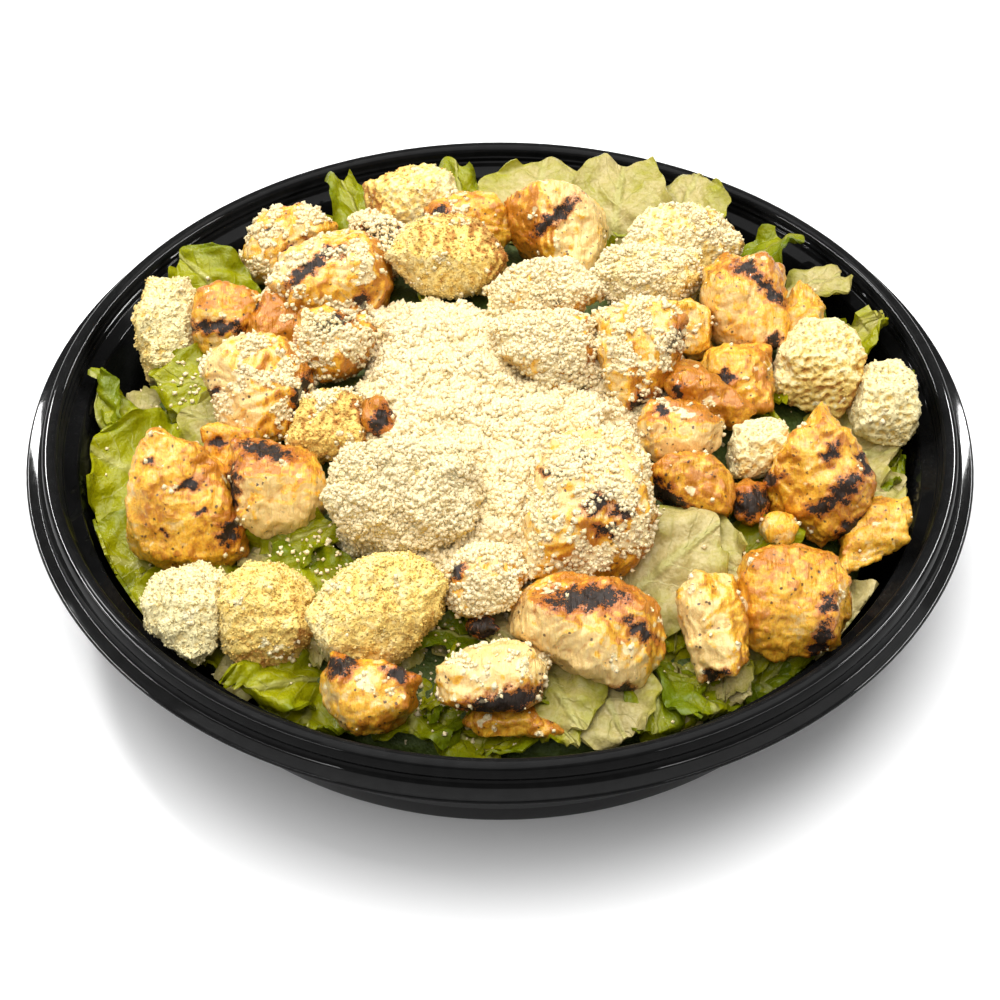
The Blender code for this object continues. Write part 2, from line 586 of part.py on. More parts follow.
def combine(item, collection, operation):
    """Join a collection's objects to an object, or cut them out of it."""
    step = item.modifiers.new("combine", "BOOLEAN")
    step.operation = operation
    step.solver = "MANIFOLD"
    step.operand_type = "COLLECTION"
    step.collection = collection
    bake(item)


def islands_of(body):
    """Groups of faces that meet along edges."""
    islands = []
    seen = set()
    for start in body.faces:
        if start in seen:
            continue
        island, queue = [], [start]
        seen.add(start)
        while queue:
            face = queue.pop()
            island.append(face)
            for edge in face.edges:
                for other in edge.link_faces:
                    if other not in seen:
                        seen.add(other)
                        queue.append(other)
        islands.append(island)
    return islands


def keep_largest(item):
    """Drop loose scraps and sealed hollows, so that one closed body is left."""
    body = bmesh.new()
    body.from_mesh(item.data)
    bmesh.ops.dissolve_limit(body, angle_limit=FLAT_ANGLE, verts=body.verts[:],
                             edges=body.edges[:])
    bmesh.ops.triangulate(body, faces=body.faces[:])
    islands = sorted(islands_of(body), key=len)
    for island in islands[:-1]:
        bmesh.ops.delete(body, geom=island, context="FACES")
    body.to_mesh(item.data)
    body.free()


def leaf_point(leaf, along, across):
    """A point of a leaf's middle surface, in mm. Across runs from -1 to 1."""
    narrowing = math.sin(math.pi * (LEAF_NARROW_START + LEAF_NARROW_RUN * along))
    width = leaf["width"] / 2 * narrowing ** LEAF_FULLNESS
    turn = LEAF_WAVES * along + LEAF_WAVE_SLANT * across + leaf["phase"]
    wave = leaf["ruffle"] * across * across * math.sin(turn)
    fold = leaf["bend"] * (4.0 * along * (1.0 - along)) + wave
    return Vector((leaf["length"] * along, width * across, fold))


def leaf_frame(leaf):
    x, y = leaf["at"]
    root = Vector((x, y, bed_height(x, y) - LEAF_ROOT_DEPTH))
    angle = math.radians(leaf["heading"])
    outward = x * math.cos(angle) + y * math.sin(angle)
    slope = math.atan(-2.0 * HEAP_FALL * outward / HEAP_FALL_RADIUS ** 2)
    heading = Matrix.Rotation(angle, 3, "Z")
    rise = Matrix.Rotation(-slope - math.radians(leaf["rise"]), 3, "Y")
    roll = Matrix.Rotation(math.radians(leaf["roll"]), 3, "X")
    return root, heading @ rise @ roll


def within_wall(place):
    radius = math.hypot(place.x, place.y)
    limit = wall_radius(place.z) - WALL_GAP - LEAF_THICKNESS
    if radius > limit:
        place.x *= limit / radius
        place.y *= limit / radius
    return place


def make_leaf(number, leaf, collection):
    leaf = dict(leaf, phase=LEAF_WAVE_STEP * number)
    root, turn = leaf_frame(leaf)
    sheet = bmesh.new()
    bmesh.ops.create_grid(sheet, x_segments=LEAF_LENGTH_CELLS, y_segments=LEAF_WIDTH_CELLS,
                          size=1.0)
    for vertex in sheet.verts:
        along = (vertex.co.x + 1.0) / 2
        place = root + turn @ leaf_point(leaf, along, vertex.co.y)
        vertex.co = within_wall(place) * MM
    bmesh.ops.triangulate(sheet, faces=sheet.faces[:])
    mesh = bpy.data.meshes.new(f"leaf_{number:02d}")
    sheet.to_mesh(mesh)
    sheet.free()
    item = add_object(mesh.name, mesh, collection)
    solid = item.modifiers.new("thickness", "SOLIDIFY")
    solid.thickness = LEAF_THICKNESS * MM
    solid.offset = 0.0
    bake(item)
    return item


def make_bed(collection):
    """The mound of lettuce under the toppings, out to its uneven edge."""
    bed = bmesh.new()
    rings = []
    for radius in BED_RINGS:
        ring = []
        for i in range(BED_STEPS):
            angle = 2 * math.pi * i / BED_STEPS
            around = Vector((math.cos(angle) * 2, math.sin(angle) * 2, 1.0))
            reach = radius
            if radius >= BED_SHOULDER_RADIUS:
                reach *= 1.0 + BED_UNEVENNESS * noise.noise(around)
            x, y = reach * math.cos(angle), reach * math.sin(angle)
            ring.append(bed.verts.new((x * MM, y * MM, (bed_height(x, y) - BED_SINK) * MM)))
        rings.append(ring)
    foot = []
    for i in range(BED_STEPS):
        angle = 2 * math.pi * i / BED_STEPS
        foot.append(bed.verts.new((BED_FOOT_RADIUS * math.cos(angle) * MM,
                                   BED_FOOT_RADIUS * math.sin(angle) * MM,
                                   (SHEET + 1.0 + SEAT_GAP) * MM)))
    rings.append(foot)
    bed.faces.new(rings[0])
    for inner, outer in zip(rings, rings[1:]):
        for i in range(BED_STEPS):
            j = (i + 1) % BED_STEPS
            bed.faces.new((inner[i], outer[i], outer[j], inner[j]))
    bed.faces.new(list(reversed(foot)))
    bmesh.ops.triangulate(bed, faces=bed.faces[:])
    bmesh.ops.recalc_face_normals(bed, faces=bed.faces[:])
    mesh = bpy.data.meshes.new("lettuce")
    bed.to_mesh(mesh)
    bed.free()
    return add_object("lettuce", mesh, collection)


def make_lettuce(collection, cutters, material):
    lettuce = make_bed(collection)
    leaves = bpy.data.collections.new("leaves")
    bpy.context.scene.collection.children.link(leaves)
    for number, leaf in enumerate(LEAVES):
        combine(make_leaf(number, leaf, leaves), cutters, "DIFFERENCE")
    combine(lettuce, leaves, "UNION")
    for item in list(leaves.objects):
        bpy.data.objects.remove(item)
    bpy.data.collections.remove(leaves)
    keep_largest(lettuce)
    lettuce.data.materials.clear()
    lettuce.data.materials.append(material)
    return lettuce


def cheese_reach(angle):
    """The heap's reach in a direction, by a smooth blend of its neighbours."""
    place = (angle % (2 * math.pi)) / (math.pi / 6)
    index = int(place) % 12
    share = place - int(place)
    share = share * share * (3 - 2 * share)
    here, following = CHEESE_REACH[index], CHEESE_REACH[(index + 1) % 12]
    return here + (following - here) * share


def make_cheese(collection, cutters, material):
    """The heap of grated cheese: a lumpy sheet that fills the space between the pieces."""
    heap = bmesh.new()
    cx, cy = CHEESE_MIDDLE
    top_rings, base_rings = [], []
    for k in range(1, CHEESE_RINGS + 1):
        top, base = [], []
        share = k / CHEESE_RINGS
        for i in range(CHEESE_SPOKES):
            angle = 2 * math.pi * i / CHEESE_SPOKES
            reach = cheese_reach(angle) * share
            x, y = cx + reach * math.cos(angle), cy + reach * math.sin(angle)
            lump = noise.noise(Vector((x, y, 0.0)) * CHEESE_LUMPS_PER_MM + Vector((0.0, 0.0, 2.0)))
            high = heap_height(x, y) + CHEESE_RISE * (1.0 - share ** 3) + CHEESE_LUMP * lump
            high -= CHEESE_EDGE_DROP * share ** 6
            top.append(heap.verts.new((x * MM, y * MM, high * MM)))
            base.append(heap.verts.new((x * MM, y * MM, (bed_height(x, y) + SEAT_GAP) * MM)))
        top_rings.append(top)
        base_rings.append(base)
    heap.faces.new(top_rings[0])
    heap.faces.new(list(reversed(base_rings[0])))
    for rings in (top_rings, base_rings):
        for inner, outer in zip(rings, rings[1:]):
            for i in range(CHEESE_SPOKES):
                j = (i + 1) % CHEESE_SPOKES
                heap.faces.new((inner[i], outer[i], outer[j], inner[j]))
    for i in range(CHEESE_SPOKES):
        j = (i + 1) % CHEESE_SPOKES
        heap.faces.new((top_rings[-1][i], base_rings[-1][i], base_rings[-1][j], top_rings[-1][j]))
    bmesh.ops.triangulate(heap, faces=heap.faces[:])
    bmesh.ops.recalc_face_normals(heap, faces=heap.faces[:])
    mesh = bpy.data.meshes.new("cheese_heap")
    heap.to_mesh(mesh)
    heap.free()
    item = add_object("cheese_heap", mesh, collection)
    combine(item, cutters, "DIFFERENCE")
    keep_largest(item)
    item.data.materials.clear()
    item.data.materials.append(material)
    return item


def main():
    salad, cutters = clear_scene()
    materials = {name: make_material(name) for name in COLOURS}
    make_bowl(salad, materials["black_plastic"])
    pieces = place_pieces(salad, CHICKEN, CHICKEN_ROUNDING, CHICKEN_ROUGHNESS,
                          materials["grilled_chicken"], CHICKEN_SEED)
    pieces += place_pieces(salad, CROUTONS, CROUTON_ROUNDING, CROUTON_ROUGHNESS,
                           materials["crouton"], CROUTON_SEED)
    fit_pieces(pieces)
    solids = [build_piece(piece) for piece in pieces]
    bpy.context.view_layer.update()
    for item in solids:
        swollen_copy(item, cutters)
    cheese = make_cheese(salad, cutters, materials["grated_cheese"])
    swollen_copy(cheese, cutters)
    make_lettuce(salad, cutters, materials["lettuce"])


main()
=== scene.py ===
# %% [markdown]
# # Chicken caesar salad in a black plastic bowl
# The salad is a bed of cut lettuce with grilled chicken, croutons and grated cheese.
# Each piece is finished over the solid that gives its place and form, so the finished
# salad keeps the layout of the solids.

# %% Tools and the solids
import math

import bpy
import numpy as np
from mathutils import Matrix, Vector, noise


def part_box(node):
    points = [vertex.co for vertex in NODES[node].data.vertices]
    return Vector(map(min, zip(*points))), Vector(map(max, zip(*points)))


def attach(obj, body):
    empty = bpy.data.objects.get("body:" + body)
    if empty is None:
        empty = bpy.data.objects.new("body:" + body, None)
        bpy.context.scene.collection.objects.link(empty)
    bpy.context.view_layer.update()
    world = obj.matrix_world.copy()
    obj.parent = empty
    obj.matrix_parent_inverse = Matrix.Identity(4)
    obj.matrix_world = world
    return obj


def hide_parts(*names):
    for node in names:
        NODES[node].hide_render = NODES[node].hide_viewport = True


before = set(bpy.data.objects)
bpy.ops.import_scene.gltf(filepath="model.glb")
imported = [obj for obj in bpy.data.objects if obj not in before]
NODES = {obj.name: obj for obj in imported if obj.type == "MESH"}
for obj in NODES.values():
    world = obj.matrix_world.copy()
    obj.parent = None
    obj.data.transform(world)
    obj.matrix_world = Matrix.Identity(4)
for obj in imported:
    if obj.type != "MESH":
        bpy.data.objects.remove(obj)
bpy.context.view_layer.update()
MM = 0.001
dice = np.random.default_rng(7)
print("solids:", len(NODES))

# %% [markdown]
# Driving sizes of the real object, in mm. The pieces lie tilted to the front, so a spot
# on one is given as (right, up) from its middle, seen square on to that tilt.

# %% Driving sizes
BOWL_HEIGHT = 41.0
LIP_INNER_RADIUS = 107.1
LIP_OUTER_RADIUS = 110.6
RIM_EDGE_RADIUS = 115.0
LEDGE_INNER_RADIUS = 102.7
FOOT_RADIUS = 92.4
SHEET = 1.2
HEAP_CROWN = 12.0
HEAP_FALL = 15.0
HEAP_FALL_RADIUS = 95.0
BED_BELOW_HEAP = 9.5
BED_SHOULDER_RADIUS = 88.0
BED_EDGE_DROP = 0.16
LEDGE_DROP = 6.4
LEDGE_REACH = 3.0
LIP_CLEARANCE = 1.4
SLOPE_CLEARANCE = 0.4
LEAF_CLEARANCE = 1.6
LEAF_THICKNESS = 0.7
LEAF_ROOT_DEPTH = 1.0
FACING = math.radians(47.0)
print("bowl:", 2 * RIM_EDGE_RADIUS, "mm wide,", BOWL_HEIGHT, "mm high")

# %% [markdown]
# ## Shader values
# The shaders are written as sums and products. A value wraps a node's output, and each
# operator adds one Math node, so a formula reads the same here as on paper.

# %% Shader values
class Value:
    """A number that a shader works out: the output socket of one of its nodes."""

    def __init__(self, shader, socket):
        self.shader, self.socket = shader, socket

    def math(self, operation, first, second):
        node = self.shader.node("ShaderNodeMath", {"operation": operation}, {0: first, 1: second})
        return Value(self.shader, node.outputs[0])

    def __add__(self, other):
        return self.math("ADD", self, other)

    def __radd__(self, other):
        return self.math("ADD", other, self)

    def __sub__(self, other):
        return self.math("SUBTRACT", self, other)

    def __rsub__(self, other):
        return self.math("SUBTRACT", other, self)

    def __mul__(self, other):
        return self.math("MULTIPLY", self, other)

    def __rmul__(self, other):
        return self.math("MULTIPLY", other, self)

    def absolute(self):
        return self.math("ABSOLUTE", self, 0.0)

    def fraction(self):
        return self.math("FRACT", self, 0.0)


# %% Shader
class Shader:
    """A node material and the few ways of adding to it that this scene needs."""

    def __init__(self, name):
        self.material = bpy.data.materials.new(name)
        self.material.use_nodes = True
        self.tree = self.material.node_tree
        self.surface = self.tree.nodes["Principled BSDF"]
        place = self.node("ShaderNodeTexCoord").outputs["Object"]
        scaled = self.node("ShaderNodeVectorMath", {"operation": "SCALE"},
                           {"Vector": place, "Scale": 1.0 / MM})
        self.place = scaled.outputs["Vector"]

    def node(self, kind, settings=None, inputs=None):
        made = self.tree.nodes.new(kind)
        for name, value in (settings or {}).items():
            setattr(made, name, value)
        for name, value in (inputs or {}).items():
            self.feed(made.inputs[name], value)
        return made

    def feed(self, socket, value):
        if isinstance(value, Value):
            value = value.socket
        if isinstance(value, bpy.types.NodeSocket):
            self.tree.links.new(value, socket)
        else:
            socket.default_value = value

    def noise(self, scale, detail=3.0, stretch=(1.0, 1.0, 1.0), rough=0.5):
        place = self.node("ShaderNodeVectorMath", {"operation": "MULTIPLY"},
                          {0: self.place, 1: stretch})
        made = self.node("ShaderNodeTexNoise", None,
                         {"Vector": place.outputs[0], "Scale": scale, "Detail": detail,
                          "Roughness": rough})
        return Value(self, made.outputs["Fac"])

    def cells(self, scale, output="Distance"):
        made = self.node("ShaderNodeTexVoronoi", None, {"Vector": self.place, "Scale": scale})
        return Value(self, made.outputs[output])

    def attribute(self, name):
        made = self.node("ShaderNodeAttribute", {"attribute_name": name})
        return Value(self, made.outputs["Fac"])

    def ramp(self, value, low, high):
        made = self.node("ShaderNodeMapRange", {"interpolation_type": "SMOOTHSTEP"},
                         {"Value": value, "From Min": low, "From Max": high})
        return Value(self, made.outputs["Result"])

    def mix(self, share, first, second):
        made = self.node("ShaderNodeMix", {"data_type": "RGBA"})
        self.feed(made.inputs[0], share)
        for socket, colour in ((made.inputs[6], first), (made.inputs[7], second)):
            self.feed(socket, (*colour, 1.0) if isinstance(colour, tuple) else colour)
        return made.outputs[2]

    def bump(self, height, depth_mm, strength=1.0):
        made = self.node("ShaderNodeBump", None,
                         {"Height": height, "Distance": depth_mm * MM, "Strength": strength})
        self.feed(self.surface.inputs["Normal"], made.outputs["Normal"])

    def cheese_share(self, patch):
        """How much the dust of cheese on a piece covers its own colour."""
        return 0.8 * self.ramp(self.attribute("dust") + 0.5 * (patch - 0.5), 0.35, 0.75)

    def finish(self, **inputs):
        for name, value in inputs.items():
            self.feed(self.surface.inputs[name.replace("_", " ")], value)
        return self.material


# %% [markdown]
# ## Small helpers
# A finished piece is a mesh at the origin with its place in its vertices. Modifiers are
# applied as soon as they are set, so that what follows can measure the real surface.

# %% Objects and modifiers
def start_object(name, mesh):
    """A new object, selected and active, with nothing else selected."""
    bpy.ops.object.select_all(action="DESELECT")
    item = bpy.data.objects.new(name, mesh)
    bpy.context.scene.collection.objects.link(item)
    item.select_set(True)
    bpy.context.view_layer.objects.active = item
    return item


def copy_of_solid(node, name):
    """A merged copy of a solid; the solid itself is left as it is."""
    item = start_object(name, NODES[node].data.copy())
    item.data.materials.clear()
    bpy.ops.object.mode_set(mode="EDIT")
    bpy.ops.mesh.select_all(action="SELECT")
    bpy.ops.mesh.remove_doubles(threshold=0.01 * MM)
    bpy.ops.mesh.normals_make_consistent(inside=False)
    bpy.ops.object.mode_set(mode="OBJECT")
    return item


def apply_modifier(item, kind, **settings):
    """Set a modifier and apply it at once."""
    step = item.modifiers.new(kind.lower(), kind)
    for name, value in settings.items():
        setattr(step, name, value)
    bpy.context.view_layer.objects.active = item
    bpy.ops.object.modifier_apply(modifier=step.name)


def pattern(name, kind, scale_mm, **settings):
    """A procedural height pattern for Displace."""
    made = bpy.data.textures.new(name, kind)
    made.noise_scale = scale_mm * MM
    for key, value in settings.items():
        setattr(made, key, value)
    return made


def displace(item, texture, height_mm, middle=0.5):
    """Push the surface in and out by a pattern; the pattern's middle value stays put."""
    apply_modifier(item, "DISPLACE", texture=texture, strength=height_mm * MM, mid_level=middle)


def spin_outline(name, outline, steps):
    """A form of revolution from its outline of (radius, height) in mm."""
    mesh = bpy.data.meshes.new(name)
    mesh.from_pydata([(radius * MM, 0.0, height * MM) for radius, height in outline],
                     [(i, i + 1) for i in range(len(outline) - 1)], [])
    item = start_object(name, mesh)
    bpy.ops.object.mode_set(mode="EDIT")
    bpy.ops.mesh.select_all(action="SELECT")
    bpy.ops.mesh.spin(steps=steps, angle=2 * math.pi, center=(0, 0, 0), axis=(0, 0, 1))
    bpy.ops.mesh.select_all(action="SELECT")
    bpy.ops.mesh.remove_doubles(threshold=0.02 * MM)
    bpy.ops.mesh.normals_make_consistent(inside=False)
    bpy.ops.object.mode_set(mode="OBJECT")
    return item


# %% Reading and marking a mesh
def read(items, field, width=1, kind=np.float32):
    """A field of each vertex, edge, face or corner of a mesh, a row each."""
    values = np.zeros(len(items) * width, kind)
    items.foreach_get(field, values)
    return values.reshape(-1, width) if width > 1 else values


def vertex_places(mesh):
    """The vertices' places in mm, a row each."""
    return read(mesh.vertices, "co", 3) / MM


def vertex_normals(mesh):
    return read(mesh.vertex_normals, "vector", 3)


def surface_area(item):
    """The area of an object's faces in mm2."""
    return sum(face.area for face in item.data.polygons) / MM ** 2


def ridge_height(mesh, rounds=5):
    """How far each vertex stands out of the surface around it, in mm; hollows are below 0."""
    first, second = read(mesh.edges, "vertices", 2, np.int32).T
    places = vertex_places(mesh)
    count = len(places)
    neighbours = np.bincount(first, minlength=count) + np.bincount(second, minlength=count)
    eased = places.copy()
    for _ in range(rounds):
        total = np.stack([np.bincount(first, eased[second, axis], count)
                          + np.bincount(second, eased[first, axis], count)
                          for axis in range(3)], axis=1)
        eased = total / np.maximum(neighbours, 1)[:, None]
    return np.einsum("ij,ij->i", places - eased, vertex_normals(mesh))


def store(mesh, name, values):
    """Keep a value on each vertex, for a material to read."""
    layer = mesh.attributes.new(name, "FLOAT", "POINT")
    layer.data.foreach_set("value", np.asarray(values, np.float32))


# %% Ending a piece
def smooth_shaded(item, degrees=180.0):
    """Shade smooth, with edges sharper than the angle kept sharp."""
    bpy.ops.object.select_all(action="DESELECT")
    item.select_set(True)
    bpy.context.view_layer.objects.active = item
    bpy.ops.object.shade_smooth_by_angle(angle=math.radians(degrees))


def join(main, others):
    """Fuse other objects into a main one."""
    bpy.ops.object.select_all(action="DESELECT")
    for item in [main, *others]:
        item.select_set(True)
    bpy.context.view_layer.objects.active = main
    bpy.ops.object.join()


def hand_over(item, slot, *nodes):
    """Hang a finished piece on the root and hide the solids it stands for."""
    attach(item, "root")
    if nodes:
        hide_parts(*nodes)


# %% [markdown]
# The toppings lie in a low dome and the lettuce a little under them. Nothing may lie
# further out than the bowl's wall.

# %% Heights and reach
def heap_height(x, y):
    """Height of the heap's domed top over the table, in mm."""
    return BOWL_HEIGHT + HEAP_CROWN - HEAP_FALL * (x * x + y * y) / HEAP_FALL_RADIUS ** 2


def bed_height(x, y):
    """Height of the lettuce bed under the toppings; it drops away past its shoulder."""
    over = max(0.0, math.hypot(x, y) - BED_SHOULDER_RADIUS)
    return heap_height(x, y) - BED_BELOW_HEAP - BED_EDGE_DROP * over * over


def wall_radius(z):
    """How far out food may lie at a height, in mm: the slope, then the ledge and the lip."""
    ledge_height = BOWL_HEIGHT - LEDGE_DROP
    if z > ledge_height + LEDGE_REACH:
        return LIP_INNER_RADIUS - LIP_CLEARANCE
    share = min(1.0, max(0.0, z / ledge_height))
    foot = FOOT_RADIUS - SHEET
    return foot + share * (LEDGE_INNER_RADIUS - foot) - SLOPE_CLEARANCE


# %% [markdown]
# ## The bowl
# Takeaway bowls like this are pressed from one sheet of black plastic. The rim is a bead
# that a lid snaps over, with two fine ridges in its inner wall, and a narrow flange below
# it outside. The outline is drawn once and spun, and a fine bevel gives every edge the
# small radius that catches a thin line of light.

# %% Bowl outline
def bowl_outline():
    """The section as (radius, height) in mm: up the inside, over the lip, down the outside."""
    top = BOWL_HEIGHT
    floor = SHEET + 1.0
    inside = [
        (0.0, floor), (84.5, floor), (87.2, SHEET), (90.2, SHEET), (FOOT_RADIUS - 0.4, 2.8),
        (LEDGE_INNER_RADIUS - 0.5, top - 7.6), (LEDGE_INNER_RADIUS, top - LEDGE_DROP),
        (LIP_INNER_RADIUS - 1.1, top - 5.5), (LIP_INNER_RADIUS - 0.9, top - 4.4),
        (LIP_INNER_RADIUS - 0.3, top - 4.0), (LIP_INNER_RADIUS - 0.6, top - 3.0),
        (LIP_INNER_RADIUS - 0.1, top - 2.6), (LIP_INNER_RADIUS - 0.2, top - 1.2),
    ]
    lip_middle = (LIP_INNER_RADIUS + LIP_OUTER_RADIUS) / 2
    lip_half = (LIP_OUTER_RADIUS - LIP_INNER_RADIUS) / 2
    lip = []
    for step in range(7):
        angle = math.pi - math.pi * step / 6
        lip.append((lip_middle + lip_half * math.cos(angle), top - 0.9 + 0.9 * math.sin(angle)))
    outside = [
        (LIP_OUTER_RADIUS + 0.7, top - 3.0), (LIP_OUTER_RADIUS + 0.3, top - 3.5),
        (LIP_OUTER_RADIUS + 1.3, top - 5.4), (RIM_EDGE_RADIUS - 0.4, top - 5.7),
        (RIM_EDGE_RADIUS, top - 6.1), (RIM_EDGE_RADIUS, top - 6.9),
        (LIP_OUTER_RADIUS + 0.6, top - 6.8), (LIP_OUTER_RADIUS - 1.0, top - SHEET),
        (LIP_INNER_RADIUS + 1.2, top - SHEET), (LIP_INNER_RADIUS + 0.2, top - 6.6),
        (LEDGE_INNER_RADIUS + 1.9, top - 7.6), (LEDGE_INNER_RADIUS + 1.1, top - 9.2),
        (FOOT_RADIUS + 3.1, 8.2), (FOOT_RADIUS + 2.2, 7.5), (FOOT_RADIUS + 0.5, 1.2),
        (FOOT_RADIUS - 0.2, 0.0), (86.0, 0.0), (84.8, 1.0), (0.0, 1.0),
    ]
    return inside + lip + outside


# %% Bowl
bowl = spin_outline("salad_bowl", bowl_outline(), 160)
apply_modifier(bowl, "BEVEL", width=0.28 * MM, segments=2, limit_method="ANGLE",
               angle_limit=math.radians(22))
smooth_shaded(bowl, 35)
print("bowl faces:", len(bowl.data.polygons))


# %% [markdown]
# ## Black plastic
# Gloss polypropylene is almost black, and what shows on it is its reflections. It is a
# little uneven from moulding and handling, so its roughness drifts and its surface
# ripples very slightly.

# %% Black plastic finish
def black_plastic():
    shader = Shader("black_plastic_finish")
    drift = shader.noise(0.03)
    haze = shader.noise(0.35, 4.0)
    colour = shader.mix(haze, (0.001, 0.001, 0.001), (0.003, 0.003, 0.003))
    shader.bump(shader.noise(0.08, 2.0) + 0.05 * shader.noise(4.0), 0.03)
    return shader.finish(Base_Color=colour, Roughness=0.02 + 0.05 * drift + 0.02 * haze,
                         IOR=1.12)


bowl.data.materials.append(black_plastic())
hand_over(bowl, "black_plastic", "bowl")

# %% [markdown]
# ## Chicken and croutons
# Grilled breast cut in chunks: pale fibrous cut faces, golden where it lay on the grill,
# and near-black bars. Croutons are bread cubes fried to a pale gold, full of pores.
# Each piece says how golden it is, which side is browned most (a direction seen from the
# front, 0 right and 90 up, with its share), how thickly cheese lies on it, and its char
# marks as (right, up, half length, half width, turn) in mm and degrees. A porous crouton
# shows its cut crumb, and a buried one lies under the cheese.

